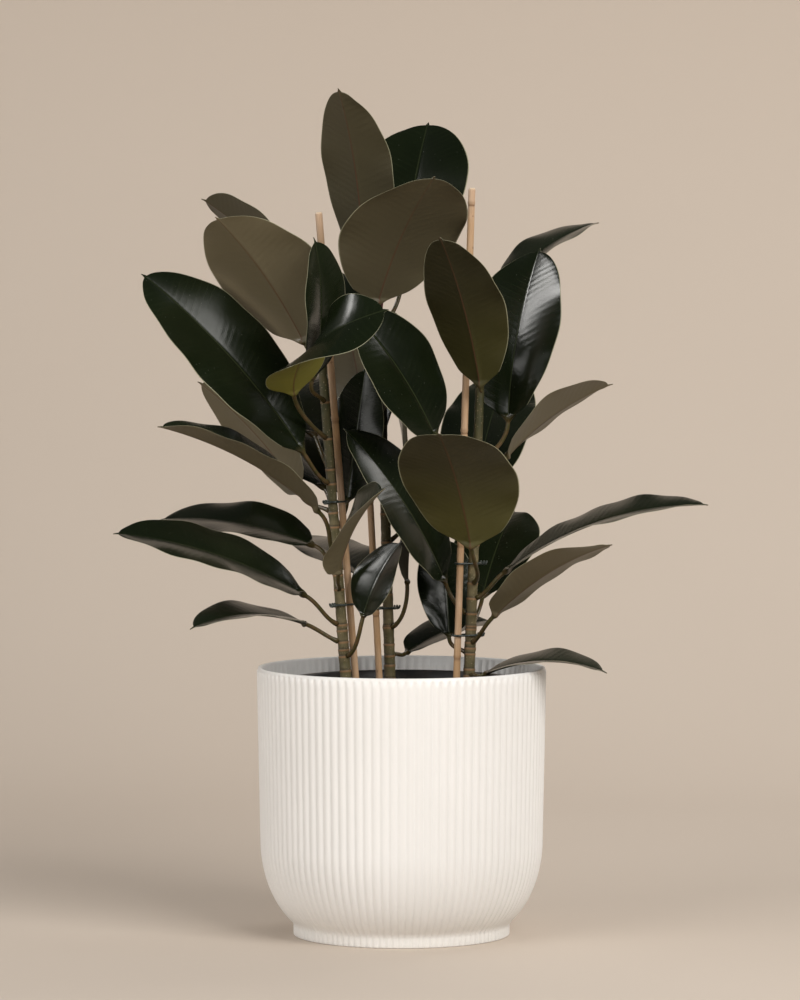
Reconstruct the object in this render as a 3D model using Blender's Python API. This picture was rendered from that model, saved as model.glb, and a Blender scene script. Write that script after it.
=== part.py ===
"""Potted rubber plant: three staked plants in one nursery pot, standing in a white fluted cover pot.

Metres, +Z up, front towards -Y. The origin is the centre of the cover pot's flat underside.
Run it with blender --background --python part.py, or from Blender's text editor.
"""

import math
from dataclasses import dataclass

import bmesh
import bpy
import numpy as np
from mathutils import Matrix, Vector

# Cover pot
POT_HEIGHT = 0.280
POT_RIM_RADIUS = 0.150
POT_WALL_RADIUS = 0.1465  # where the straight wall meets the round bottom
POT_WALL = 0.004
POT_FLOOR = 0.005
FOOT_RADIUS = 0.112
FOOT_HEIGHT = 0.013
ROUND_BOTTOM_HEIGHT = 0.100
ROUND_BOTTOM_TURN = 60.0  # degrees of its oval that the round bottom runs through
RIM_BAND = 0.004
FLUTES = 104
FLUTE_DEPTH = 0.002

# Nursery pot and soil
NURSERY_RIM_DROP = 0.013  # its rim stands this far below the cover pot's rim
NURSERY_RIM_GAP = 0.024  # between the two pots at the nursery pot's rim
NURSERY_FOOT_GAP = 0.008  # between the two pots at the floor
NURSERY_WALL = 0.0015
NURSERY_LIP = 0.005
DRAIN_HOLES = 6
DRAIN_HOLE_RADIUS = 0.006
SOIL_DROP = 0.009  # soil below the nursery pot's rim
SOIL_DOME = 0.003

# Plants
STEM_FOOT_RADIUS = 0.0058
STEM_TOP_RADIUS = 0.0042
STEM_SCAR = 0.0005  # how far a ring scar stands out
SCAR_DROP = 0.001  # a scar is this far below its leaf's node
SCAR_FOOT_DROP = 0.004  # where a scar starts to swell, below the node
STEM_DEPTH = 0.070  # below the soil
CANE_RADIUS = 0.0037
CANE_DEPTH = 0.150
BUD_LENGTH = 0.042
STALK_RADIUS = 0.0022
STALK_SWELL = 1.25  # a stalk is this much wider at its stem
STALK_LEAN = 0.35  # how far each end of a stalk keeps its direction, as a share of its length
STALK_RISE = 0.4  # upwards for each step outwards, where a stalk leaves its stem
LEAF_THICKNESS = 0.0010
MIDRIB = 0.0010
MIDRIB_TAPER = 0.7  # the share of its height that the midrib loses by the tip
DRIP_TIP = 0.007
TIP_HALF_WIDTH = 0.0014  # where the drip tip starts
LEAST_HALF_WIDTH = 0.0022
BLADE_FULLNESS = 0.54  # a smaller power gives a squarer leaf
BLADE_STEPS = (0.05, 0.14, 0.26, 0.39, 0.52, 0.65, 0.77, 0.87, 0.95, 1.0)
TIE_WIRE = 0.0011
TIE_TAIL = 0.009
TIE_SLACK = 0.0008  # between a tie and the stem or cane in it
TIE_TAIL_GAP = 0.0004  # half the space between a tie's two tails
STALK_GAP = 0.0002  # a stalk's end keeps this further off its stem than other parts that touch
CONTACT_GAP = 0.0003
SOCKET_GAP = 0.0004

# Derived levels
NURSERY_RIM = POT_HEIGHT - NURSERY_RIM_DROP
SOIL_LEVEL = NURSERY_RIM - SOIL_DROP


@dataclass(frozen=True)
class Shoot:
    """One rooted plant.

    Its stem's foot and top and its cane's foot and top are in (x, y, height above the soil).
    """

    stem_foot: tuple
    stem_top: tuple
    cane_foot: tuple
    cane_top: tuple


@dataclass(frozen=True)
class Leaf:
    """One leaf, held at a height on its shoot's stem.

    base and tip are where the blade starts and ends, in (x, y, height above the soil). turn rolls the
    blade about its length in degrees. arch and sway bend it out of and within its plane, as shares of its
    length. fold and curl tilt each half up, at the midrib and further at the edge, in degrees. twist rolls
    the tip, in degrees.
    """

    shoot: str
    node: float
    base: tuple
    tip: tuple
    width: float
    turn: float = 0.0
    arch: float = 0.08
    sway: float = 0.0
    fold: float = 14.0
    curl: float = -10.0
    twist: float = 0.0
    belly: float = 1.0
    leave: tuple = ()


SHOOTS = {
    "left": Shoot(
        (-0.057, -0.016, 0), (-0.085, -0.022, 0.375), (-0.047, -0.005, 0), (-0.086, -0.006, 0.495)
    ),
    "middle": Shoot(
        (-0.012, 0.052, 0), (-0.023, 0.052, 0.395), (-0.023, 0.040, 0), (-0.042, 0.040, 0.370)
    ),
    "right": Shoot((0.070, 0.002, 0), (0.084, 0.002, 0.380), (0.057, -0.006, 0), (0.073, -0.006, 0.520)),
}

LEAVES = {
    # left shoot, from the top down
    "leaf_left_01": Leaf("left", 0.372, (-0.105, 0.035, 0.405), (-0.207, 0.090, 0.508), 0.095, turn=45),
    "leaf_left_02": Leaf(
        "left", 0.345, (-0.099, -0.035, 0.358), (-0.186, -0.110, 0.486), 0.130, turn=20
    ),
    "leaf_left_03": Leaf(
        "left", 0.300, (-0.092, -0.068, 0.322), (-0.088, -0.108, 0.463), 0.085, turn=-125
    ),
    "leaf_left_04": Leaf(
        "left", 0.262, (-0.110, -0.079, 0.306), (-0.018, -0.166, 0.394), 0.105,
        turn=-15, arch=0, sway=0.3, twist=92, fold=3, curl=0, belly=1.2,
    ),
    "leaf_left_05": Leaf(
        "left", 0.215, (-0.100, -0.045, 0.245), (-0.263, -0.060, 0.428), 0.113, turn=-50, belly=1.15
    ),
    "leaf_left_06": Leaf("left", 0.185, (-0.105, 0.015, 0.200), (-0.210, 0.055, 0.315), 0.095, turn=55),
    "leaf_left_07": Leaf("left", 0.170, (-0.080, 0.040, 0.205), (-0.150, 0.170, 0.270), 0.100),
    "leaf_left_08": Leaf(
        "left", 0.140, (-0.084, -0.055, 0.185), (-0.243, -0.110, 0.275), 0.085, turn=-10, fold=30
    ),
    "leaf_left_09": Leaf("left", 0.120, (-0.090, 0.015, 0.147), (-0.251, 0.075, 0.172), 0.090, turn=-18),
    "leaf_left_10": Leaf(
        "left", 0.105, (-0.065, -0.062, 0.122), (-0.020, -0.142, 0.212), 0.080, turn=50, fold=25
    ),
    "leaf_left_11": Leaf(
        "left", 0.068, (-0.098, -0.040, 0.098), (-0.290, -0.080, 0.165), 0.095, turn=-24
    ),
    "leaf_left_12": Leaf(
        "left", 0.050, (-0.098, -0.030, 0.068), (-0.212, -0.090, 0.070), 0.080, turn=-8, arch=0.12
    ),
    "leaf_left_13": Leaf(
        "left", 0.035, (-0.040, -0.040, 0.076), (-0.002, -0.038, 0.152), 0.074, turn=30
    ),
    "leaf_left_14": Leaf("left", 0.230, (-0.090, 0.030, 0.260), (-0.150, 0.230, 0.330), 0.100),
    "leaf_left_15": Leaf(
        "left", 0.150, (-0.057, 0.010, 0.192), (-0.038, 0.010, 0.330), 0.060,
        turn=80, arch=0.02, leave=(-0.3, 1),
    ),
    # middle shoot
    "leaf_middle_01": Leaf(
        "middle", 0.390, (-0.040, 0.040, 0.443), (-0.064, -0.040, 0.618), 0.082, turn=-9
    ),
    "leaf_middle_02": Leaf("middle", 0.380, (0.004, 0.080, 0.450), (0.028, 0.160, 0.590), 0.125),
    "leaf_middle_03": Leaf(
        "middle", 0.355, (-0.026, 0.022, 0.398), (0.032, -0.078, 0.528), 0.140,
        turn=-3, fold=6, belly=1.12,
    ),
    "leaf_middle_04": Leaf("middle", 0.300, (-0.062, 0.105, 0.345), (-0.120, 0.230, 0.450), 0.100),
    "leaf_middle_05": Leaf(
        "middle", 0.235, (-0.038, 0.014, 0.270), (-0.066, 0.014, 0.405), 0.085, turn=60
    ),
    "leaf_middle_06": Leaf("middle", 0.215, (-0.030, 0.078, 0.250), (-0.008, 0.100, 0.390), 0.080),
    "leaf_middle_07": Leaf("middle", 0.180, (0.010, 0.032, 0.222), (0.016, 0.032, 0.362), 0.074),
    "leaf_middle_08": Leaf("middle", 0.150, (0.020, 0.090, 0.190), (0.090, 0.240, 0.250), 0.100),
    "leaf_middle_09": Leaf("middle", 0.060, (0.006, 0.032, 0.105), (0.032, 0.028, 0.232), 0.074),
    "leaf_middle_10": Leaf("middle", 0.030, (0.004, 0.070, 0.030), (0.092, 0.110, 0.062), 0.075, turn=8),
    "leaf_middle_11": Leaf("middle", 0.095, (-0.040, 0.090, 0.110), (-0.130, 0.230, 0.140), 0.095),
    # right shoot
    "leaf_right_01": Leaf(
        "right", 0.370, (0.108, 0.104, 0.418), (0.207, 0.158, 0.485), 0.088, leave=(-1, 0.2)
    ),
    "leaf_right_02": Leaf("right", 0.330, (0.082, -0.030, 0.312), (0.040, -0.130, 0.465), 0.086),
    "leaf_right_03": Leaf(
        "right", 0.240, (0.111, 0.010, 0.276), (0.144, 0.055, 0.454), 0.116, belly=1.1
    ),
    "leaf_right_04": Leaf(
        "right", 0.215, (0.035, -0.036, 0.262), (-0.050, -0.070, 0.392), 0.104, turn=-62, leave=(0, -1)
    ),
    "leaf_right_05": Leaf("right", 0.205, (0.108, 0.020, 0.238), (0.217, 0.050, 0.314), 0.096, turn=-25),
    "leaf_right_06": Leaf(
        "right", 0.110, (0.072, -0.060, 0.148), (0.038, -0.198, 0.270), 0.125, leave=(0.35, -1)
    ),
    "leaf_right_07": Leaf(
        "right", 0.094, (0.105, -0.015, 0.120), (0.310, -0.060, 0.194), 0.090, turn=12, arch=0.11
    ),
    "leaf_right_08": Leaf(
        "right", 0.078, (0.046, 0.014, 0.108), (-0.056, -0.034, 0.268), 0.092, turn=-58
    ),
    "leaf_right_09": Leaf("right", 0.065, (0.085, 0.050, 0.090), (0.120, 0.160, 0.175), 0.095),
    "leaf_right_10": Leaf(
        "right", 0.048, (0.094, -0.040, 0.076), (0.210, -0.115, 0.155), 0.082, turn=-8
    ),
    "leaf_right_11": Leaf(
        "right", 0.013, (0.085, -0.030, 0.016), (0.207, -0.055, 0.022), 0.075, turn=6, arch=0.13
    ),
    "leaf_right_12": Leaf("right", 0.150, (0.075, 0.050, 0.190), (0.115, 0.250, 0.320), 0.100),
    "leaf_right_13": Leaf("right", 0.036, (0.050, 0.030, 0.050), (0.042, 0.082, 0.150), 0.064),
}


def clear_scene():
    """Remove every object that the file opened with."""
    for thing in list(bpy.data.objects):
        bpy.data.objects.remove(thing, do_unlink=True)


def material(name, colour, roughness, metallic=0.0):
    """Make a Principled material of one colour."""
    made = bpy.data.materials.new(name)
    made.use_nodes = True
    shader = made.node_tree.nodes["Principled BSDF"]
    shader.inputs["Base Color"].default_value = (*colour, 1.0)
    shader.inputs["Roughness"].default_value = roughness
    shader.inputs["Metallic"].default_value = metallic
    return made


def add_mesh(name, mesh_builder, finish, sharp=35.0):
    """Turn a closed bmesh into a named object that faces outwards.

    It is smooth where faces meet at less than the sharp angle, in degrees.
    """
    if mesh_builder.calc_volume(signed=True) < 0:
        bmesh.ops.reverse_faces(mesh_builder, faces=mesh_builder.faces)
    mesh = bpy.data.meshes.new(name)
    mesh_builder.to_mesh(mesh)
    mesh_builder.free()
    mesh.shade_smooth()
    mesh.set_sharp_from_angle(angle=math.radians(sharp))
    mesh.materials.append(finish)
    made = bpy.data.objects.new(name, mesh)
    bpy.context.collection.objects.link(made)
    return made


def loft(rings, end=None, thin=False):
    """Join rings of points into one closed skin.

    Each ring is an array of shape (points, 3). The end rings are capped flat, or the last one runs to the
    pole point end. A thin skin, such as a blade, is split into triangles alike on its two sides, so that the
    sides stay parallel where the blade twists.
    """
    skin = bmesh.new()
    rows = [[skin.verts.new(point) for point in ring] for ring in rings]
    count = len(rows[0])
    for lower, upper in zip(rows, rows[1:]):
        for i in range(count):
            j = (i + 1) % count
            if not thin:
                skin.faces.new((lower[i], lower[j], upper[j], upper[i]))
            elif i % (count // 2) < count // 4:
                skin.faces.new((lower[i], lower[j], upper[j]))
                skin.faces.new((lower[i], upper[j], upper[i]))
            else:
                skin.faces.new((lower[i], lower[j], upper[i]))
                skin.faces.new((lower[j], upper[j], upper[i]))
    skin.faces.new(rows[0][::-1])
    if end is None:
        skin.faces.new(rows[-1])
        return skin
    pole = skin.verts.new(end)
    for i in range(count):
        skin.faces.new((rows[-1][i], rows[-1][(i + 1) % count], pole))
    return skin


def unit(vector):
    """Return the vector at length one."""
    vector = np.asarray(vector, float)
    return vector / np.linalg.norm(vector)


def bezier(points, share):
    """Return the place and direction at a share of a cubic Bezier curve."""
    a, b, c, d = (np.asarray(p, float) for p in points)
    rest = 1.0 - share
    place = rest**3 * a + 3 * rest**2 * share * b + 3 * rest * share**2 * c + share**3 * d
    slope = 3 * rest**2 * (b - a) + 6 * rest * share * (c - b) + 3 * share**2 * (d - c)
    return place, unit(slope)


def above_soil(point):
    """Return a design point, given by its height above the soil, in the part's frame."""
    return np.array([point[0], point[1], point[2] + SOIL_LEVEL])


def circle(centre, direction, radius, count, reference=(0.0, 1.0, 0.0)):
    """Return a ring of points round a centre, square to a direction and turned to a reference direction."""
    direction = unit(direction)
    side = unit(np.cross(direction, reference))
    other = np.cross(direction, side)
    angles = np.arange(count) * 2 * math.pi / count
    return centre + radius * (np.cos(angles)[:, None] * side + np.sin(angles)[:, None] * other)


# Cover pot


def cover_pot_outline():
    """Return the cover pot's outer radius and height, from the foot's edge up to the rim band."""
    reach = POT_WALL_RADIUS - FOOT_RADIUS
    rise = ROUND_BOTTOM_HEIGHT - FOOT_HEIGHT
    outline = [(FOOT_RADIUS, 0.0), (FOOT_RADIUS, FOOT_HEIGHT * 0.8)]
    # the round bottom is part of an oval that stops at the foot's height
    oval = rise / math.sin(math.radians(ROUND_BOTTOM_TURN))
    width = reach / (1.0 - math.cos(math.radians(ROUND_BOTTOM_TURN)))
    for share in (1.0, 0.8, 0.57, 0.3, 0.0):
        turn = math.radians(ROUND_BOTTOM_TURN * share)
        radius = POT_WALL_RADIUS - width * (1 - math.cos(turn))
        outline.append((radius, ROUND_BOTTOM_HEIGHT - oval * math.sin(turn)))
    share = 1.0 - RIM_BAND / (POT_HEIGHT - ROUND_BOTTOM_HEIGHT)
    outline.append((POT_WALL_RADIUS + (POT_RIM_RADIUS - POT_WALL_RADIUS) * share, POT_HEIGHT - RIM_BAND))
    return outline


def inner_radius(height):
    """Return the cover pot's inner radius at a height, from its outer outline and its wall."""
    outline = cover_pot_outline() + [(POT_RIM_RADIUS, POT_HEIGHT)]
    heights = [z for _, z in outline]
    radii = [r for r, _ in outline]
    return float(np.interp(height, heights, radii)) - POT_WALL - FLUTE_DEPTH / 2


def fluted_ring(radius, height, depth):
    """Return one ring of the fluted wall: a crest and a groove for each flute."""
    steps = np.arange(2 * FLUTES)
    angles = steps * math.pi / FLUTES
    radii = radius + np.where(steps % 2 == 0, 0.5, -0.5) * depth
    return np.stack([radii * np.cos(angles), radii * np.sin(angles), np.full(len(steps), height)], axis=1)


def cover_pot(finish):
    """The cover pot: a fluted outside and a plain inside, joined over a smooth rim."""
    skin = bmesh.new()
    outside = [fluted_ring(radius, height, FLUTE_DEPTH) for radius, height in cover_pot_outline()]
    outside.append(fluted_ring(POT_RIM_RADIUS, POT_HEIGHT - RIM_BAND, 0.0))
    outside.append(fluted_ring(POT_RIM_RADIUS, POT_HEIGHT, 0.0))
    rows = [[skin.verts.new(point) for point in ring] for ring in outside]
    for lower, upper in zip(rows, rows[1:]):
        for i in range(2 * FLUTES):
            j = (i + 1) % (2 * FLUTES)
            skin.faces.new((lower[i], lower[j], upper[j], upper[i]))
    skin.faces.new(rows[0][::-1])
    angles = np.arange(FLUTES) * 2 * math.pi / FLUTES
    # the inside has fewer rings than the outside
    heights = [POT_HEIGHT, *(z for _, z in reversed(cover_pot_outline()[3:-1:2])), POT_FLOOR]
    inside = []
    for height in heights:
        radius = POT_RIM_RADIUS - POT_WALL if height == POT_HEIGHT else inner_radius(height)
        ring = np.stack([radius * np.cos(angles), radius * np.sin(angles), np.full(FLUTES, height)], axis=1)
        inside.append([skin.verts.new(point) for point in ring])
    rim = rows[-1]
    for i in range(FLUTES):
        j = (i + 1) % FLUTES
        crest, groove, following = rim[2 * i], rim[2 * i + 1], rim[2 * j]
        skin.faces.new((crest, groove, inside[0][i]))
        skin.faces.new((groove, inside[0][j], inside[0][i]))
        skin.faces.new((groove, following, inside[0][j]))
    for upper, lower in zip(inside, inside[1:]):
        for i in range(FLUTES):
            j = (i + 1) % FLUTES
            skin.faces.new((upper[i], upper[j], lower[j], lower[i]))
    skin.faces.new(inside[-1])
    return add_mesh("cover_pot", skin, finish, sharp=60)


# Nursery pot and soil


def nursery_radius(height):
    """Return the nursery pot's outer radius at a height, from the cover pot round it."""
    foot = inner_radius(POT_FLOOR) - NURSERY_FOOT_GAP
    rim = inner_radius(NURSERY_RIM) - NURSERY_RIM_GAP
    share = (height - POT_FLOOR) / (NURSERY_RIM - POT_FLOOR)
    return foot + (rim - foot) * share


def turned(profile, count):
    """Return one ring for each (radius, height) of a profile."""
    angles = np.arange(count) * 2 * math.pi / count
    return [
        np.stack([r * np.cos(angles), r * np.sin(angles), np.full(count, z)], axis=1) for r, z in profile
    ]


def cutter(name, mesh_builder, target, finish):
    """Cut a hidden helper out of the target with an exact Boolean."""
    tool = add_mesh(name, mesh_builder, finish)
    tool.hide_render = True
    tool.display_type = "WIRE"
    cut = target.modifiers.new(name, "BOOLEAN")
    cut.operation = "DIFFERENCE"
    cut.solver = "EXACT"
    cut.object = tool


def nursery_pot(finish):
    """The black growing pot: a thin cup with a turned-out lip and drain holes in its floor."""
    bottom = POT_FLOOR + CONTACT_GAP
    floor = bottom + NURSERY_WALL
    lip = NURSERY_RIM - NURSERY_LIP
    rim_radius = nursery_radius(NURSERY_RIM)
    profile = [
        (nursery_radius(bottom), bottom),
        (nursery_radius(lip) - NURSERY_LIP, lip),
        (rim_radius, lip),
        (rim_radius, NURSERY_RIM),
        (nursery_radius(NURSERY_RIM) - NURSERY_LIP - NURSERY_WALL, NURSERY_RIM),
        (nursery_radius(floor) - NURSERY_WALL, floor),
    ]
    pot = add_mesh("nursery_pot", loft(turned(profile, 64)), finish)
    holes = bmesh.new()
    for i in range(DRAIN_HOLES):
        turn = 2 * math.pi * i / DRAIN_HOLES
        reach = nursery_radius(bottom) * 0.7
        place = Matrix.Translation((reach * math.cos(turn), reach * math.sin(turn), bottom))
        bmesh.ops.create_cone(
            holes, cap_ends=True, segments=12, radius1=DRAIN_HOLE_RADIUS, radius2=DRAIN_HOLE_RADIUS,
            depth=4 * NURSERY_WALL, matrix=place,
        )
    cutter("nursery_drain_cutter", holes, pot, finish)


def soil_radius(height):
    """Return the soil's radius at a height, a contact gap inside the nursery pot's straight wall."""
    floor = POT_FLOOR + CONTACT_GAP + NURSERY_WALL
    foot = nursery_radius(floor) - NURSERY_WALL
    rim = nursery_radius(NURSERY_RIM) - NURSERY_LIP - NURSERY_WALL
    share = (height - floor) / (NURSERY_RIM - floor)
    return foot + (rim - foot) * share - 2 * CONTACT_GAP


def potting_soil(finish):
    """The soil: a turned plug with a slightly domed top and a socket for each stem and cane."""
    bottom = POT_FLOOR + 2 * CONTACT_GAP + NURSERY_WALL
    profile = [
        (soil_radius(bottom), bottom),
        (soil_radius(SOIL_LEVEL - SOIL_DOME), SOIL_LEVEL - SOIL_DOME),
        (soil_radius(SOIL_LEVEL) * 0.6, SOIL_LEVEL),
    ]
    soil = add_mesh("potting_soil", loft(turned(profile, 48)), finish)
    for side, shoot in SHOOTS.items():
        stem_reach = STEM_FOOT_RADIUS + STEM_SCAR + SOCKET_GAP
        stem_hole = socket(stem_line(shoot), stem_reach, STEM_DEPTH + SOCKET_GAP)
        cutter(f"stem_{side}_socket", stem_hole, soil, finish)
        cane_hole = socket(cane_line(shoot), CANE_RADIUS + SOCKET_GAP, CANE_DEPTH + SOCKET_GAP)
        cutter(f"cane_{side}_socket", cane_hole, soil, finish)


def socket(line, radius, depth):
    """Return the cutter for a round hole round a line's lower end, open at the soil's surface."""
    foot, top = line
    direction = unit(top - foot)
    ends = (foot - direction * depth, foot + direction * 4 * SOIL_DOME)
    return loft([circle(end, direction, radius, 16) for end in ends])


# Stems, canes and buds


def stem_line(shoot):
    """Return the two ends of the stem's centre line above the soil."""
    return above_soil(shoot.stem_foot), above_soil(shoot.stem_top)


def cane_line(shoot):
    """Return the two ends of the cane's centre line above the soil."""
    return above_soil(shoot.cane_foot), above_soil(shoot.cane_top)


def stem_place(shoot, height):
    """Return the stem's centre at a height above the soil."""
    foot, top = stem_line(shoot)
    return foot + (top - foot) * height / shoot.stem_top[2]


def stem_radius(shoot, height):
    """Return the stem's radius at a height above the soil."""
    share = min(max(height / shoot.stem_top[2], 0.0), 1.0)
    return STEM_FOOT_RADIUS + (STEM_TOP_RADIUS - STEM_FOOT_RADIUS) * share


def stem(side, shoot, finish):
    """A tapered stem with a ring scar under each of its leaves."""
    foot, top = stem_line(shoot)
    direction = unit(top - foot)
    rings = [circle(foot - direction * STEM_DEPTH, direction, STEM_FOOT_RADIUS, 10)]
    scars = sorted(leaf.node for leaf in LEAVES.values() if leaf.shoot == side)
    for height in scars:
        for drop, swell in ((SCAR_FOOT_DROP, 0.0), (SCAR_DROP, STEM_SCAR)):
            place = stem_place(shoot, height - drop)
            rings.append(circle(place, direction, stem_radius(shoot, height) + swell, 10))
    rings = [ring for ring in rings if ring[:, 2].max() < top[2] - SCAR_FOOT_DROP]
    rings.append(circle(top, direction, STEM_TOP_RADIUS, 10))
    add_mesh(f"stem_{side}", loft(rings), finish)


def cane(side, shoot, finish):
    """A bamboo cane pushed into the soil beside the stem."""
    foot, top = (Vector(end) for end in cane_line(shoot))
    direction = (top - foot).normalized()
    bottom = foot - direction * CANE_DEPTH
    stick = bmesh.new()
    upright = direction.to_track_quat("Z", "Y").to_matrix().to_4x4()
    place = Matrix.Translation((bottom + top) / 2) @ upright
    bmesh.ops.create_cone(
        stick, cap_ends=True, segments=12, radius1=CANE_RADIUS, radius2=CANE_RADIUS,
        depth=(top - bottom).length, matrix=place,
    )
    add_mesh(f"cane_{side}", stick, finish)


def bud(side, shoot, finish):
    """The pointed sheath of the next leaf, on top of a stem."""
    foot, top = stem_line(shoot)
    direction = unit(top - foot)
    start = top + direction * CONTACT_GAP
    rings = []
    for share, radius in ((0.0, 0.0036), (0.15, 0.0042), (0.45, 0.0034), (0.8, 0.0014)):
        rings.append(circle(start + direction * BUD_LENGTH * share, direction, radius, 10))
    add_mesh(f"bud_{side}", loft(rings, end=start + direction * BUD_LENGTH), finish)


# Ties


def tie(name, shoot, height, finish):
    """A wire tie: one loop round stem and cane, with its two ends standing out side by side."""
    stem_centre = stem_place(shoot, height)[:2]
    cane_foot, cane_top = cane_line(shoot)
    share = height / shoot.cane_top[2]
    cane_centre = (cane_foot + (cane_top - cane_foot) * share)[:2]
    level = SOIL_LEVEL + height
    across = cane_centre - stem_centre
    spread = np.linalg.norm(across)
    across = across / spread
    aside = np.array([-across[1], across[0]])
    slack = TIE_WIRE + TIE_SLACK
    stem_reach = stem_radius(shoot, height) + STEM_SCAR + slack
    cane_reach = CANE_RADIUS + slack
    lean = math.asin((stem_reach - cane_reach) / spread)
    # round the stem, starting and ending at the point that faces away from the cane
    open_angle = math.asin((TIE_WIRE + TIE_TAIL_GAP) / stem_reach)
    points = []
    start = np.array([-math.cos(open_angle), math.sin(open_angle)]) * stem_reach
    points.append(start + np.array([-TIE_TAIL, 0.0]))
    points.append(start + np.array([-TIE_TAIL * 0.5, 0.0]))
    for angle in np.linspace(math.pi - open_angle, math.pi / 2 - lean, 6):
        points.append(np.array([math.cos(angle), math.sin(angle)]) * stem_reach)
    for angle in np.linspace(math.pi / 2 - lean, -math.pi / 2 + lean, 7):
        points.append(np.array([spread, 0.0]) + np.array([math.cos(angle), math.sin(angle)]) * cane_reach)
    for angle in np.linspace(-math.pi / 2 + lean, -math.pi + open_angle, 6):
        points.append(np.array([math.cos(angle), math.sin(angle)]) * stem_reach)
    points.append(points[-1] + np.array([-TIE_TAIL * 0.5, 0.0]))
    points.append(points[-1] + np.array([-TIE_TAIL * 0.5, 0.0]))
    flat = np.array([stem_centre + across * along + aside * out for along, out in points])
    rings = []
    for i, place in enumerate(flat):
        forward = unit(flat[min(i + 1, len(flat) - 1)] - flat[max(i - 1, 0)])
        centre = np.array([*place, level])
        rings.append(circle(centre, (*forward, 0.0), TIE_WIRE, 6, (0.0, 0.0, 1.0)))
    add_mesh(name, loft(rings), finish)


# Leaves


def half_width(leaf, share):
    """Return the blade's half width at a share of its length: an oval that narrows to the drip tip."""
    warped = min(share, 1.0) ** leaf.belly
    oval = 0.5 * leaf.width * max(math.sin(math.pi * warped), 0.0) ** BLADE_FULLNESS
    return max(oval, LEAST_HALF_WIDTH) if share < 1.0 else TIP_HALF_WIDTH


def leaf_curves(leaf):
    """Return the stalk's and the blade's Bezier points, and the direction that the upper side faces."""
    shoot = SHOOTS[leaf.shoot]
    base = above_soil(leaf.base)
    tip = above_soil(leaf.tip)
    length = np.linalg.norm(tip - base)
    along = (tip - base) / length
    upper = unit(np.array([0.0, 0.0, 1.0]) - along[2] * along)
    side = np.cross(along, upper)
    turn = math.radians(leaf.turn)
    cos, sin = math.cos(turn), math.sin(turn)
    upper, side = upper * cos + side * sin, side * cos - upper * sin
    bend = length * (leaf.arch * upper + leaf.sway * side)
    blade = (base, base + (tip - base) / 3 + bend, base + (tip - base) * 2 / 3 + bend, tip)
    centre = stem_place(shoot, leaf.node)
    away = np.array([*leaf.leave, 0.0]) if leaf.leave else base - centre
    away = unit(np.array([away[0], away[1], 0.0]))
    start = centre + away * (stem_radius(shoot, leaf.node) + STEM_SCAR + CONTACT_GAP + STALK_GAP)
    hold = STALK_LEAN * np.linalg.norm(base - start)
    rise = unit(away + np.array([0.0, 0.0, STALK_RISE]))
    stalk = (start, start + hold * rise, base - hold * unit(blade[1] - base), base)
    return stalk, blade, upper, away


def blade_ring(leaf, blade, upper, share):
    """Return the eight points of one section across the blade."""
    place, forward = bezier(blade, share)
    twist = math.radians(leaf.twist) * share
    flat = unit(np.cross(forward, upper))
    up = np.cross(flat, forward)
    cos, sin = math.cos(twist), math.sin(twist)
    up, flat = up * cos + flat * sin, flat * cos - up * sin
    half = half_width(leaf, share)
    thick = LEAF_THICKNESS / 2
    fold, curl = math.radians(leaf.fold), math.radians(leaf.curl)
    # each half is two chords of the arc that starts at the fold angle and turns by the curl
    inner, outer = fold + curl * 0.25, fold + curl * 0.75
    inner_x, inner_y = 0.5 * math.cos(inner), 0.5 * math.sin(inner)
    edge_x, edge_y = inner_x + 0.5 * math.cos(outer), inner_y + 0.5 * math.sin(outer)
    rib = MIDRIB * (1.0 - MIDRIB_TAPER * share)
    points = [
        (0.0, thick),
        (inner_x * half, inner_y * half + thick),
        (edge_x * half, edge_y * half),
        (inner_x * half, inner_y * half - thick),
        (0.0, -thick - rib),
        (-inner_x * half, inner_y * half - thick),
        (-edge_x * half, edge_y * half),
        (-inner_x * half, inner_y * half + thick),
    ]
    return np.array([place + x * flat + y * up for x, y in points])


def stalk_ring(stalk, away, upper, share, radius):
    """Return the eight points of one section across the stalk, whose first section lies along the stem."""
    place, forward = bezier(stalk, share)
    flat = unit(np.cross(forward, upper))
    up = np.cross(flat, forward)
    angles = math.pi / 2 - np.arange(8) * math.pi / 4
    ring = np.array([place + radius * (math.cos(a) * flat + math.sin(a) * up) for a in angles])
    if share == 0.0:
        ring += ((place - ring) @ away / (forward @ away))[:, None] * forward
    return ring


def leaf_skin(leaf):
    """Return one leaf as a closed skin: a round stalk, then the blade, then the drip tip."""
    stalk, blade, upper, away = leaf_curves(leaf)
    rings = [stalk_ring(stalk, away, upper, 0.0, STALK_RADIUS * STALK_SWELL)]
    rings += [stalk_ring(stalk, away, upper, share, STALK_RADIUS) for share in (0.25, 0.6, 0.97)]
    rings += [blade_ring(leaf, blade, upper, share) for share in BLADE_STEPS]
    end, forward = bezier(blade, 1.0)
    return loft(rings, end=end + forward * DRIP_TIP, thin=True)


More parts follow.
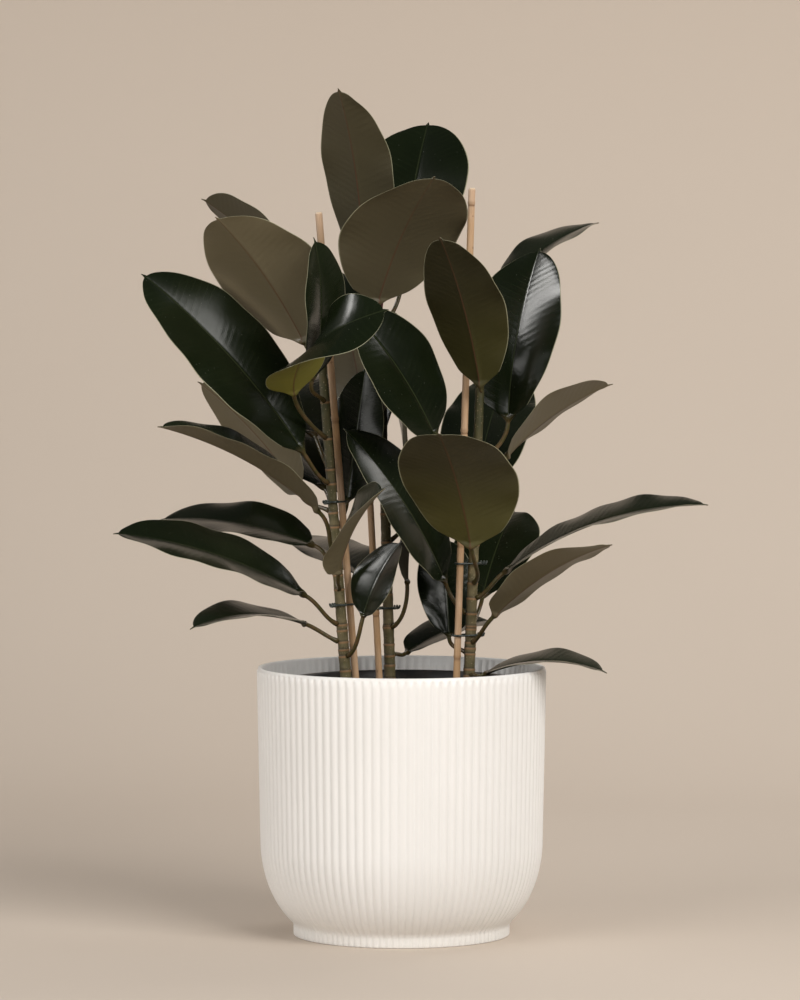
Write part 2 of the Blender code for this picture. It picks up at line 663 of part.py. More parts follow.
def build():
    """Model the whole potted plant."""
    clear_scene()
    white = material("white_plastic", (0.80, 0.78, 0.73), 0.42)
    black = material("black_plastic", (0.012, 0.012, 0.012), 0.45)
    earth = material("potting_soil", (0.035, 0.022, 0.014), 0.95)
    bark = material("stem_bark", (0.14, 0.11, 0.05), 0.65)
    bamboo = material("bamboo", (0.52, 0.33, 0.16), 0.5)
    wire = material("tie_plastic", (0.02, 0.03, 0.025), 0.4)
    sheath = material("bud_sheath", (0.30, 0.03, 0.03), 0.35)
    green = material("leaf", (0.02, 0.03, 0.018), 0.3)
    cover_pot(white)
    nursery_pot(black)
    potting_soil(earth)
    for side, shoot in SHOOTS.items():
        stem(side, shoot, bark)
        cane(side, shoot, bamboo)
        bud(side, shoot, sheath)
    for name, side, height in (
        ("tie_left_lower", "left", 0.088), ("tie_left_upper", "left", 0.195),
        ("tie_middle_lower", "middle", 0.080), ("tie_middle_upper", "middle", 0.200),
        ("tie_right_lower", "right", 0.055), ("tie_right_upper", "right", 0.130),
    ):
        tie(name, SHOOTS[side], height, wire)
    for name, leaf in LEAVES.items():
        add_mesh(name, leaf_skin(leaf), green, sharp=50)


build()
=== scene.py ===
"""The finished look of the potted rubber plant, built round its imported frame.

Three staked plants grow in a black nursery pot that stands inside a white fluted cover pot. Every shape is a
surface worked out as whole arrays: rings of points carried along a curve or turned round the pot's axis.
Metres, +Z up, front towards -Y.
"""

import logging
import math
from dataclasses import dataclass, field
from enum import Enum
from typing import Optional, Sequence

import bpy
import numpy as np
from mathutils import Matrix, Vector


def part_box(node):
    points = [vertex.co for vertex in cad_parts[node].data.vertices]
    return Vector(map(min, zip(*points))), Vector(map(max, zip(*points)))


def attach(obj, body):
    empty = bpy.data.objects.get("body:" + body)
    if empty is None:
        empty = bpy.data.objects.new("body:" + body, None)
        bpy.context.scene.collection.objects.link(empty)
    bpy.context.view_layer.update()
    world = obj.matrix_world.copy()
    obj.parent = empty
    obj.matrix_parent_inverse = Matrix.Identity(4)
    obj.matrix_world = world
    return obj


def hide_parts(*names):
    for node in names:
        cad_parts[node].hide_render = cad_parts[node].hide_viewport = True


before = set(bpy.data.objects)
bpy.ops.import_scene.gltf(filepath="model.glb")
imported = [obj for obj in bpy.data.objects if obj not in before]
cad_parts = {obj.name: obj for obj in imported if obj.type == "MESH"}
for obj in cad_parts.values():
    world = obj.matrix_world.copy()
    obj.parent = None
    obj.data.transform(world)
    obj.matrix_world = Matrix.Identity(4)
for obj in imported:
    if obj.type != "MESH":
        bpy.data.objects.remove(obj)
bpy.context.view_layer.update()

LOG = logging.getLogger("rubber_plant")
Array = np.ndarray
SOIL_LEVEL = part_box("potting_soil")[1].z
TURN = 2 * math.pi

# side veins: the distance between two along the midrib, and how far they run back for each metre out from it
VEIN_SPACING = 0.0075
FINE_VEIN_SPACING = 0.0019
VEIN_SLANT = 0.42


class Side(Enum):
    """Which of the three shoots a piece belongs to."""

    LEFT = "left"
    MIDDLE = "middle"
    RIGHT = "right"


# ---------------------------------------------------------------- shared shape code


def unit(vectors: Array) -> Array:
    """Return vectors at length one, along the last axis."""
    vectors = np.asarray(vectors, float)
    return vectors / np.linalg.norm(vectors, axis=-1, keepdims=True)


def around(count: int) -> Array:
    """Return the angles of equal steps round one turn."""
    return np.arange(count) * TURN / count


def joined(*parts) -> Array:
    """Return arrays and numbers, spread to one shape, side by side along a new last axis."""
    return np.stack(np.broadcast_arrays(*parts), axis=-1)


def bell(distance: Array, width) -> Array:
    """Return a bell curve: 1 at no distance, and 1/e at the width."""
    return np.exp(-((distance / width) ** 2))


def smooth_step(values: Array, low: float, high: float) -> Array:
    """Return a smooth rise from 0 at low to 1 at high: 3x squared minus 2x cubed of the share between."""
    share = np.clip((np.asarray(values, float) - low) / (high - low), 0.0, 1.0)
    return share * share * (3.0 - 2.0 * share)


def bezier(points: Sequence[Array], shares: Array) -> tuple[Array, Array]:
    """Return places and directions along a cubic Bezier curve.

    Args:
        points: the curve's four control points.
        shares: where along the curve, from 0 to 1, as a flat array.

    Returns:
        The places and the unit directions, each of shape (shares, 3).
    """
    a, b, c, d = (np.asarray(p, float)[None, :] for p in points)
    t = np.asarray(shares, float)[:, None]
    rest = 1.0 - t
    place = rest**3 * a + 3 * rest**2 * t * b + 3 * rest * t**2 * c + t**3 * d
    slope = 3 * rest**2 * (b - a) + 6 * rest * t * (c - b) + 3 * t**2 * (d - c)
    return place, unit(slope)


def soft_noise(points: Array, scale: float, seed: int) -> Array:
    """Return smooth noise from -1 to 1 at each point: a sum of eight sine waves in seeded directions."""
    rng = np.random.default_rng(seed)
    waves = unit(rng.normal(size=(8, 3))) * rng.uniform(0.6, 1.6, size=(8, 1)) * TURN / scale
    phases = rng.uniform(0, TURN, size=8)
    return np.sin(points @ waves.T + phases).mean(axis=-1) * 1.8


def put(name: str, data: bpy.types.ID) -> bpy.types.Object:
    """Add a mesh, light or camera to the scene as an object."""
    made = bpy.data.objects.new(name, data)
    bpy.context.scene.collection.objects.link(made)
    return made


def mesh_points(piece: bpy.types.Object) -> Array:
    """Return an object's points, of shape (points, 3)."""
    points = np.empty(len(piece.data.vertices) * 3, np.float32)
    piece.data.vertices.foreach_get("co", points)
    return points.reshape(-1, 3)


def foot_radius(node: str) -> float:
    """Return how far a frame node's lowest ring reaches from the pot's axis."""
    points = mesh_points(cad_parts[node])
    low = points[points[:, 2] < points[:, 2].min() + 0.0005]
    return float(np.hypot(low[:, 0], low[:, 1]).max())


def round_uv(path: Array, reach: float, columns: int) -> Array:
    """Return metres round a surface, whose whole turn is reach, and metres along its path."""
    along = np.concatenate([[0.0], np.cumsum(np.linalg.norm(np.diff(path, axis=0), axis=1))])
    return joined(around(columns)[None, :] / TURN * reach, along[:, None])


@dataclass
class Skin:
    """A closed surface on a grid of points that wraps round in its second direction.

    grid has shape (rows, columns, 3). Its first and last rows close on pole points. uv has shape
    (rows, columns, 2), and uv_turn is what the first number gains in one turn round the grid. marks are
    values kept at the points, each of shape (rows, columns, 4).
    """

    name: str
    grid: Array
    first_pole: Array
    last_pole: Array
    uv: Array
    uv_turn: float = 0.0
    marks: dict[str, Array] = field(default_factory=dict)

    def mesh(self) -> bpy.types.Mesh:
        """Write the surface into a new mesh with its uv map and marks."""
        rows, columns, _ = self.grid.shape
        points = np.concatenate([self.grid.reshape(-1, 3), [self.first_pole], [self.last_pole]])
        row, column = np.meshgrid(np.arange(rows - 1), np.arange(columns), indexing="ij")
        after = (column + 1) % columns
        quads = np.stack(
            [
                row * columns + column, row * columns + after,
                (row + 1) * columns + after, (row + 1) * columns + column,
            ],
            axis=-1,
        ).reshape(-1, 4)
        around = np.arange(columns)
        beside = (around + 1) % columns
        last = (rows - 1) * columns
        low = np.full(columns, rows * columns)
        fans = np.concatenate([
            np.stack([beside, around, low], axis=-1),
            np.stack([last + around, last + beside, low + 1], axis=-1),
        ])
        turned = (np.arange(quads.shape[0]) % columns) == columns - 1
        quad_turn = np.stack([0 * turned, turned, turned, 0 * turned], axis=-1)
        fan_turn = np.zeros((2 * columns, 3))
        fan_turn[columns - 1, 0] = 1
        fan_turn[2 * columns - 1, 1] = 1
        loops = np.concatenate([quads.ravel(), fans.ravel()]).astype(np.int32)
        sizes = np.concatenate([np.full(len(quads), 4), np.full(len(fans), 3)]).astype(np.int32)
        starts = np.concatenate([[0], np.cumsum(sizes)[:-1]]).astype(np.int32)
        mesh = bpy.data.meshes.new(self.name)
        mesh.vertices.add(len(points))
        mesh.vertices.foreach_set("co", points.astype(np.float32).ravel())
        mesh.loops.add(len(loops))
        mesh.loops.foreach_set("vertex_index", loops)
        mesh.polygons.add(len(sizes))
        mesh.polygons.foreach_set("loop_start", starts)
        flat_uv = np.concatenate([self.uv.reshape(-1, 2), [self.uv[0].mean(0)], [self.uv[-1].mean(0)]])
        corner_uv = flat_uv[loops]
        corner_uv[:, 0] += self.uv_turn * np.concatenate([quad_turn.ravel(), fan_turn.ravel()])
        layer = mesh.uv_layers.new(name="surface")
        layer.data.foreach_set("uv", corner_uv.astype(np.float32).ravel())
        for name, values in self.marks.items():
            kept = np.concatenate([values.reshape(-1, 4), [values[0].mean(0)], [values[-1].mean(0)]])
            mark = mesh.attributes.new(name, "FLOAT_COLOR", "POINT")
            mark.data.foreach_set("color", kept.astype(np.float32).ravel())
        mesh.update(calc_edges=True)
        mesh.validate()
        mesh.shade_smooth()
        return mesh

    def place(self, finish: bpy.types.Material) -> bpy.types.Object:
        """Make the surface an object dressed in its finish, facing outwards."""
        mesh = self.mesh()
        mesh.materials.append(finish)
        return put(self.name, mesh)


def turned_skin(name: str, profile: Array, columns: int) -> Skin:
    """Turn a profile of (radius, height) rows round the Z axis.

    The profile's first and last points close on the axis. uv holds the distance round and along, in metres.

    Args:
        name: the piece's name.
        profile: rows of radius and height, from the lower axis round the outside to the upper axis.
        columns: how many steps the turn has.

    Returns:
        The closed skin.
    """
    angles = around(columns)
    radius, height = profile[:, :1], profile[:, 1:]
    grid = joined(radius * np.cos(angles), radius * np.sin(angles), height)
    reach = TURN * profile[:, 0].max()
    first, last = (np.array([0.0, 0.0, profile[i, 1]]) for i in (0, -1))
    return Skin(name, grid, first, last, round_uv(profile, reach, columns), reach)


@dataclass
class Tube:
    """A round tube along a path, whose radius may change by row and by column.

    path has shape (rows, 3). radii has shape (rows, columns) or (rows, 1). squeeze flattens each section
    towards its second direction.
    """

    name: str
    path: Array
    radii: Array
    columns: int = 24
    squeeze: float = 1.0
    marks: dict[str, Array] = field(default_factory=dict)

    def skin(self) -> Skin:
        """Carry a ring along the path, turned as little as possible from row to row."""
        forward = unit(np.gradient(self.path, axis=0))
        reference = np.array([0.0, 0.0, 1.0]) if abs(forward[:, 2]).max() < 0.7 else np.array([0.0, 1.0, 0.0])
        side = unit(np.cross(forward, reference))
        other = np.cross(side, forward)
        angles = around(self.columns)
        radii = np.broadcast_to(self.radii, (len(self.path), self.columns))[..., None]
        grid = self.path[:, None, :] + radii * (
            np.cos(angles)[None, :, None] * side[:, None, :]
            - self.squeeze * np.sin(angles)[None, :, None] * other[:, None, :]
        )
        reach = TURN * float(np.mean(radii))
        uv = round_uv(self.path, reach, self.columns)
        spread = {
            key: np.broadcast_to(value[:, None, :], (len(self.path), self.columns, 4))
            for key, value in self.marks.items()
        }
        return Skin(self.name, grid, self.path[0], self.path[-1], uv, reach, spread)


def keep(piece: bpy.types.Object, slot: str, *nodes: str) -> bpy.types.Object:
    """Set a finished piece on the one rigid body, in place of its frame nodes.

    Args:
        piece: the finished object.
        slot: not used.
        nodes: the frame nodes that it stands for.

    Returns:
        The piece.
    """
    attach(piece, "root")
    if nodes:
        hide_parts(*nodes)
    LOG.info("%s: %d faces", piece.name, len(piece.data.polygons))
    return piece


# ---------------------------------------------------------------- shared finish code


class Sheet:
    """A shader node sheet with short calls for the nodes that the finishes use."""

    def __init__(self, tree: bpy.types.NodeTree, effects: Optional["Effects"] = None) -> None:
        """Start on a node tree, with the shared effects that it may place."""
        self.tree = tree
        self.effects = effects

    def add(self, kind: str, inputs: Optional[dict] = None, **settings) -> bpy.types.Node:
        """Add a node.

        Args:
            kind: the node's type name without its ShaderNode beginning.
            inputs: socket name or number to a value, or to an output socket to link.
            settings: properties set on the node itself.

        Returns:
            The node.
        """
        node = self.tree.nodes.new("ShaderNode" + kind)
        for key, value in settings.items():
            setattr(node, key, value)
        for key, value in (inputs or {}).items():
            if isinstance(value, bpy.types.NodeSocket):
                self.tree.links.new(value, node.inputs[key])
            else:
                node.inputs[key].default_value = value
        return node

    def maths(self, operation: str, first, second=0.0) -> bpy.types.NodeSocket:
        """Return one sum of two numbers or sockets."""
        return self.add("Math", {0: first, 1: second}, operation=operation).outputs[0]

    def times(self, first, second) -> bpy.types.NodeSocket:
        """Return two numbers or sockets multiplied."""
        return self.maths("MULTIPLY", first, second)

    def plus(self, first, second) -> bpy.types.NodeSocket:
        """Return two numbers or sockets added."""
        return self.maths("ADD", first, second)

    def link(self, output: bpy.types.NodeSocket, socket: bpy.types.NodeSocket) -> None:
        """Link an output to an input."""
        self.tree.links.new(output, socket)

    def remap(self, value, low: float, high: float, to_low: float = 0.0, to_high: float = 1.0):
        """Return a value moved from one range to another, smoothly and without passing its ends."""
        node = self.add(
            "MapRange", {0: value, 1: low, 2: high, 3: to_low, 4: to_high}, interpolation_type="SMOOTHSTEP"
        )
        return node.outputs[0]

    def blend(self, share, first, second) -> bpy.types.NodeSocket:
        """Return one colour blended into another by a share."""
        return self.add("Mix", {0: share, 6: first, 7: second}, data_type="RGBA").outputs[2]

    def tint(self, base, share, amount, shade) -> bpy.types.NodeSocket:
        """Return a colour with a second one laid over it where a mask is, at a strength."""
        return self.blend(self.times(share, amount), base, shade)

    def noise(
        self, vector, scale: float, detail: float = 3.0, roughness: float = 0.5
    ) -> bpy.types.NodeSocket:
        """Return fractal noise from 0 to 1."""
        values = {"Vector": vector, "Scale": scale, "Detail": detail, "Roughness": roughness}
        return self.add("TexNoise", values).outputs[0]

    def place(self) -> bpy.types.NodeSocket:
        """Return the object's own coordinates."""
        return self.add("TexCoord").outputs["Object"]

    def surface(self) -> bpy.types.NodeSocket:
        """Return the coordinates along the surface."""
        return self.add("UVMap", uv_map="surface").outputs[0]

    def marks(self, name: str) -> tuple:
        """Return the four values of the marks of this name."""
        kept = self.add("Attribute", attribute_name=name)
        return (*self.add("SeparateColor", {0: kept.outputs["Color"]}).outputs, kept.outputs["Alpha"])

    def mottled(self, place, scale: float, detail: float, low: float, high: float) -> bpy.types.NodeSocket:
        """Return the mask of soft uneven patches."""
        values = {"Vector": place, "Scale": scale, "Detail": detail, "Low": low, "High": high}
        return self.add("Group", values, node_tree=self.effects.mottle).outputs[0]

    def specked(self, place, scale: float, size: float, cover: float) -> bpy.types.NodeSocket:
        """Return the mask of small scattered specks."""
        values = {"Vector": place, "Scale": scale, "Size": size, "Cover": cover}
        return self.add("Group", values, node_tree=self.effects.specks).outputs[0]

    def streaked(self, surface, across: float, along: float) -> bpy.types.NodeSocket:
        """Return the mask of long fibres along a surface."""
        values = {"Surface": surface, "Across": across, "Along": along}
        return self.add("Group", values, node_tree=self.effects.streaks).outputs[0]


def colour(red: float, green: float, blue: float) -> tuple[float, float, float, float]:
    """Return a colour with full alpha."""
    return (red, green, blue, 1.0)


def start_effect(name: str, inputs: dict[str, str], outputs: dict[str, str]) -> tuple:
    """Start a shared effect.

    Args:
        name: the node group's name.
        inputs: input name to its kind, such as Float, Vector or Color.
        outputs: output name to its kind.

    Returns:
        The group, its sheet, its input node's outputs and its output node's inputs.
    """
    group = bpy.data.node_groups.new(name, "ShaderNodeTree")
    for title, kind in inputs.items():
        group.interface.new_socket(name=title, in_out="INPUT", socket_type="NodeSocket" + kind)
    for title, kind in outputs.items():
        group.interface.new_socket(name=title, in_out="OUTPUT", socket_type="NodeSocket" + kind)
    sheet = Sheet(group)
    given = group.nodes.new("NodeGroupInput").outputs
    result = group.nodes.new("NodeGroupOutput").inputs
    return group, sheet, given, result


def mottle_effect() -> bpy.types.NodeTree:
    """Soft uneven patches: fractal noise stretched to a mask between two levels."""
    inputs = {"Vector": "Vector", "Scale": "Float", "Detail": "Float", "Low": "Float", "High": "Float"}
    group, sheet, given, result = start_effect("mottle", inputs, {"Mask": "Float"})
    noise = sheet.add("TexNoise", {key: given[key] for key in ("Vector", "Scale", "Detail")})
    mask = sheet.add("MapRange", {0: noise.outputs[0], 1: given["Low"], 2: given["High"]})
    sheet.link(mask.outputs[0], result["Mask"])
    return group


def speck_effect() -> bpy.types.NodeTree:
    """Small scattered specks: the core of each cell of a cell pattern, kept where noise is high."""
    inputs = {"Vector": "Vector", "Scale": "Float", "Size": "Float", "Cover": "Float"}
    group, sheet, given, result = start_effect("specks", inputs, {"Mask": "Float"})
    cells = sheet.add("TexVoronoi", {"Vector": given["Vector"], "Scale": given["Scale"]})
    core = sheet.maths("LESS_THAN", cells.outputs["Distance"], given["Size"])
    chosen = sheet.add("SeparateColor", {0: cells.outputs["Color"]})
    kept = sheet.maths("LESS_THAN", chosen.outputs[0], given["Cover"])
    sheet.link(sheet.times(core, kept), result["Mask"])
    return group


def streak_effect() -> bpy.types.NodeTree:
    """Long fibres along a surface: noise on the uv map, drawn out along its second direction."""
    inputs = {"Surface": "Vector", "Across": "Float", "Along": "Float"}
    group, sheet, given, result = start_effect("streaks", inputs, {"Mask": "Float"})
    scale = sheet.add("CombineXYZ", {0: given["Across"], 1: given["Along"], 2: 1.0})
    stretched = sheet.add("VectorMath", {0: given["Surface"], 1: scale.outputs[0]}, operation="MULTIPLY")
    noise = sheet.add("TexNoise", {"Vector": stretched.outputs[0], "Scale": 1.0, "Detail": 4.0})
    sheet.link(sheet.remap(noise.outputs[0], 0.32, 0.68), result["Mask"])
    return group


class Effects:
    """The shared effects, each built once."""

    def __init__(self) -> None:
        """Build every shared effect."""
        self.mottle = mottle_effect()
        self.specks = speck_effect()
        self.streaks = streak_effect()


@dataclass(frozen=True)
class Finish:
    """A surface finish: its constant shader values. Each kind paints its own colours and relief."""

    name: str
    specular: float = 0.5
    coat: float = 0.0
    coat_roughness: float = 0.1
    sheen: float = 0.0

    def material(self, effects: Effects) -> bpy.types.Material:
        """Make the material: constants on the shader, and painted colour, roughness and relief."""
        made = bpy.data.materials.new(self.name)
        made.use_nodes = True
        sheet = Sheet(made.node_tree, effects)
        shader = made.node_tree.nodes["Principled BSDF"]
        shader.inputs["Specular IOR Level"].default_value = self.specular
        shader.inputs["Coat Weight"].default_value = self.coat
        shader.inputs["Coat Roughness"].default_value = self.coat_roughness
        shader.inputs["Sheen Weight"].default_value = self.sheen
        self.paint(sheet, shader)
        return made

    def paint(self, sheet: Sheet, shader: bpy.types.Node) -> None:
        """Link the painted values into the shader."""
        raise NotImplementedError


def relief(sheet: Sheet, shader: bpy.types.Node, height, distance: float, strength: float = 1.0) -> None:
    """Link a height pattern into the shader's normal through a bump."""
    bump = sheet.add("Bump", {"Height": height, "Distance": distance, "Strength": strength})
    sheet.link(bump.outputs[0], shader.inputs["Normal"])


def paint_base(sheet: Sheet, shader: bpy.types.Node, base, roughness) -> None:
    """Link a colour and a roughness into the shader."""
    sheet.link(base, shader.inputs["Base Color"])
    sheet.link(roughness, shader.inputs["Roughness"])


class SatinWhite(Finish):
    """Warm white moulded plastic with a faint grain, a little dust, and painted shade darkening its foot."""

    def paint(self, sheet: Sheet, shader: bpy.types.Node) -> None:
        """Paint warm white, a shade greyer in patches, with painted shade towards the floor and a fine moulded
        grain.
        """
        place = sheet.place()
        patch = sheet.mottled(place, 9.0, 4.0, 0.35, 0.7)
        dust = sheet.specked(place, 420.0, 0.12, 0.06)
        base = sheet.blend(patch, colour(0.82, 0.812, 0.798), colour(0.79, 0.782, 0.765))
        # painted shade: the lowest 5 cm of the pot, near the floor, is blended darker
        low = sheet.remap(sheet.add("SeparateXYZ", {0: place}).outputs[2], 0.0, 0.05, 0.35, 0.0)
        base = sheet.blend(low, base, colour(0.71, 0.68, 0.63))
        base = sheet.tint(base, dust, 0.25, colour(0.45, 0.42, 0.37))
        grain = sheet.noise(place, 1400.0, 2.0)
        roughness = sheet.remap(patch, 0.0, 1.0, 0.40, 0.50)
        paint_base(sheet, shader, base, roughness)
        relief(sheet, shader, grain, 0.00006)


class BlackPlastic(Finish):
    """Thin black growing-pot plastic with dried splashes of soil."""

    def paint(self, sheet: Sheet, shader: bpy.types.Node) -> None:
        """Paint near-black with brown dust in patches."""
        place = sheet.place()
        patch = sheet.mottled(place, 28.0, 6.0, 0.48, 0.75)
        specks = sheet.specked(place, 260.0, 0.2, 0.2)
        dirt = sheet.maths("MAXIMUM", sheet.times(patch, 0.6), specks)
        base = sheet.blend(dirt, colour(0.012, 0.012, 0.012), colour(0.055, 0.038, 0.026))
        paint_base(sheet, shader, base, sheet.remap(dirt, 0.0, 1.0, 0.38, 0.8))
        relief(sheet, shader, sheet.noise(place, 900.0, 2.0), 0.00008)


class Earth(Finish):
    """Damp potting soil: dark peat with paler fibres. The marks' first value is a crumb's own shade."""

    def paint(self, sheet: Sheet, shader: bpy.types.Node) -> None:
        """Paint brown-black peat in three scales of patch."""
        place = sheet.place()
        shade = sheet.marks("crumb")
        patch = sheet.mottled(place, 60.0, 8.0, 0.35, 0.68)
        fine = sheet.noise(place, 420.0, 6.0, 0.7)
        base = sheet.blend(patch, colour(0.016, 0.010, 0.006), colour(0.052, 0.033, 0.020))
        base = sheet.blend(sheet.remap(fine, 0.55, 0.8), base, colour(0.11, 0.07, 0.042))
        base = sheet.blend(shade[0], base, colour(0.16, 0.10, 0.055))
        base = sheet.blend(shade[1], base, colour(0.62, 0.60, 0.55))
        paint_base(sheet, shader, base, sheet.remap(fine, 0.2, 0.8, 0.75, 0.98))
        relief(sheet, shader, fine, 0.0012)


class Bark(Finish):
    """Young rubber plant bark. The marks hold a scar ring, how young and green the stem is there, and the
    crease above each scar, which takes painted shade.
    """

    def paint(self, sheet: Sheet, shader: bpy.types.Node) -> None:
        """Paint olive to grey-brown bark with tan scar rings, pale pores and painted shade in the crease above
        each scar.
        """
        place = sheet.place()
        surface = sheet.surface()
        parts = sheet.marks("growth")
        streaks = sheet.streaked(surface, 900.0, 90.0)
        patch = sheet.mottled(place, 75.0, 5.0, 0.38, 0.66)
        old = sheet.blend(patch, colour(0.100, 0.086, 0.036), colour(0.200, 0.160, 0.080))
        young = sheet.blend(patch, colour(0.034, 0.040, 0.012), colour(0.075, 0.066, 0.024))
        base = sheet.blend(parts[1], old, young)
        base = sheet.tint(base, streaks, 0.35, colour(0.06, 0.045, 0.022))
        pores = sheet.specked(place, 520.0, 0.28, 0.22)
        base = sheet.tint(base, pores, 0.7, colour(0.36, 0.28, 0.17))
        base = sheet.blend(parts[0], base, colour(0.30, 0.155, 0.07))
        # painted shade: the crease just above each scar ring is darkened
        base = sheet.blend(parts[2], base, colour(0.035, 0.024, 0.014))
        paint_base(sheet, shader, base, sheet.remap(patch, 0.0, 1.0, 0.5, 0.72))
        height = sheet.plus(sheet.times(streaks, 0.6), pores)
        relief(sheet, shader, height, 0.00022)


class Bamboo(Finish):
    """Split-free bamboo cane: tan to pinkish with long fibres. The marks hold a node ring, the cut end, and the
    inside of the hollow top, which takes painted shade.
    """

    def paint(self, sheet: Sheet, shader: bpy.types.Node) -> None:
        """Paint tan fibres, darker node rings and a pale cut end, with painted shade down inside its hole."""
        place = sheet.place()
        surface = sheet.surface()
        parts = sheet.marks("growth")
        fibres = sheet.streaked(surface, 1500.0, 18.0)
        patch = sheet.mottled(place, 16.0, 4.0, 0.36, 0.66)
        base = sheet.blend(patch, colour(0.47, 0.285, 0.135), colour(0.60, 0.42, 0.28))
        base = sheet.tint(base, fibres, 0.4, colour(0.29, 0.155, 0.07))
        stain = sheet.specked(place, 150.0, 0.22, 0.12)
        base = sheet.tint(base, stain, 0.5, colour(0.16, 0.085, 0.04))
        base = sheet.blend(parts[0], base, colour(0.20, 0.105, 0.05))
        base = sheet.blend(parts[1], base, colour(0.66, 0.52, 0.36))
        # painted shade: the inside of the cut top's hole is painted near-black
        base = sheet.blend(parts[2], base, colour(0.03, 0.02, 0.012))
        paint_base(sheet, shader, base, sheet.remap(fibres, 0.0, 1.0, 0.42, 0.58))
        relief(sheet, shader, fibres, 0.00012)


class TiePlastic(Finish):
    """Dark green-grey plastic over a soft wire, scuffed paler on its bends."""

    def paint(self, sheet: Sheet, shader: bpy.types.Node) -> None:
        """Paint dark green-grey with pale scuffs."""
        place = sheet.place()
        patch = sheet.mottled(place, 320.0, 4.0, 0.5, 0.75)
        base = sheet.blend(patch, colour(0.020, 0.028, 0.024), colour(0.085, 0.10, 0.088))
        paint_base(sheet, shader, base, sheet.remap(patch, 0.0, 1.0, 0.32, 0.55))
        relief(sheet, shader, sheet.noise(place, 2200.0, 2.0), 0.00005)


class Sheath(Finish):
    """The waxy red sheath round an unopened leaf. The marks' first value runs from its foot to its tip."""

    def paint(self, sheet: Sheet, shader: bpy.types.Node) -> None:
        """Paint deep red that pales to a pink tip, with fine long streaks."""
        surface = sheet.surface()
        parts = sheet.marks("growth")
        streaks = sheet.streaked(surface, 1100.0, 60.0)
        base = sheet.blend(parts[0], colour(0.135, 0.022, 0.020), colour(0.34, 0.075, 0.060))
        base = sheet.tint(base, streaks, 0.5, colour(0.09, 0.012, 0.014))
        paint_base(sheet, shader, base, sheet.remap(streaks, 0.0, 1.0, 0.28, 0.42))
        relief(sheet, shader, streaks, 0.0001)


class LeafSurface(Finish):
    """A leathery leaf: dark and glossy above, olive-brown below, with its veins, midrib and pale margin.

    uv holds metres across and along the blade. The leaf marks hold the share out to the margin, 1 on the
    upper side, 1 on the stalk, and the leaf's own shade. The blush marks hold the distance from the midrib,
    how fresh the leaf is together with painted light shining through leaf_left_04 near its base, and the share
    along the blade.
    """

    def paint(self, sheet: Sheet, shader: bpy.types.Node) -> None:
        """Paint both sides, and press the side veins into the blade."""
        place = sheet.place()
        outward, above, stalk, shade = sheet.marks("leaf")
        from_rib, fresh_and_lit_through, along, _ = sheet.marks("blush")
        surface = sheet.surface()
        flat = sheet.add("SeparateXYZ", {0: surface})
        slant = sheet.times(sheet.maths("ABSOLUTE", flat.outputs[0]), VEIN_SLANT)
        run = sheet.maths("SUBTRACT", flat.outputs[1], slant)
        wobble = sheet.times(sheet.noise(place, 22.0, 2.0), 0.006)
        run = sheet.plus(run, wobble)
        main_veins = sheet.maths("SINE", sheet.times(run, TURN / VEIN_SPACING))
        fine_veins = sheet.maths("SINE", sheet.times(run, TURN / FINE_VEIN_SPACING))
        uneven = sheet.mottled(place, 34.0, 2.0, 0.35, 0.65)
        vein = sheet.times(sheet.remap(main_veins, 0.8, 1.0), uneven)
        patch = sheet.mottled(place, 13.0, 5.0, 0.36, 0.68)
        fine = sheet.mottled(place, 160.0, 4.0, 0.4, 0.7)
        specks = sheet.specked(place, 340.0, 0.16, 0.05)
        upper = sheet.blend(patch, colour(0.0046, 0.0076, 0.0026), colour(0.0080, 0.0122, 0.0042))
        upper = sheet.tint(upper, vein, 0.22, colour(0.021, 0.028, 0.013))
        upper = sheet.tint(upper, shade, 0.5, colour(0.013, 0.019, 0.008))
        upper = sheet.tint(upper, specks, 0.35, colour(0.09, 0.09, 0.07))
        lower = sheet.blend(patch, colour(0.018, 0.0155, 0.0055), colour(0.029, 0.0255, 0.0095))
        lower = sheet.tint(lower, vein, 0.16, colour(0.075, 0.065, 0.036))
        lower = sheet.tint(lower, fine, 0.18, colour(0.018, 0.016, 0.008))
        lower = sheet.blend(shade, lower, colour(0.128, 0.107, 0.062))
        # the yellow-green near the base: a fresh leaf's own colour, and on leaf_left_04 painted light shining
        # through the blade
        lower = sheet.blend(fresh_and_lit_through, lower, colour(0.175, 0.165, 0.030))
        base = sheet.blend(above, lower, upper)
        rib = sheet.remap(from_rib, 0.0, 0.0013, 1.0, 0.0)
        rib_colour = sheet.blend(above, colour(0.095, 0.040, 0.022), colour(0.034, 0.042, 0.018))
        base = sheet.tint(base, rib, sheet.remap(along, 0.25, 1.0, 0.85, 0.35), rib_colour)
        base = sheet.blend(sheet.remap(outward, 0.976, 0.994), base, colour(0.30, 0.29, 0.19))
        stalk_colour = sheet.blend(fine, colour(0.060, 0.052, 0.018), colour(0.105, 0.062, 0.028))
        base = sheet.blend(stalk, base, stalk_colour)
        gloss_above = sheet.remap(patch, 0.0, 1.0, 0.20, 0.27)
        roughness = sheet.add("Mix", {0: above, 2: 0.46, 3: gloss_above}, data_type="FLOAT").outputs[0]
        roughness = sheet.plus(roughness, sheet.times(specks, 0.25))
        paint_base(sheet, shader, base, roughness)
        height = sheet.times(sheet.plus(main_veins, sheet.times(fine_veins, 0.2)), uneven)
        height = sheet.plus(height, sheet.times(sheet.noise(place, 70.0, 2.0), 2.0))
        blade_only = sheet.maths("SUBTRACT", 1.0, stalk)
        relief(sheet, shader, sheet.times(height, blade_only), 0.000045)


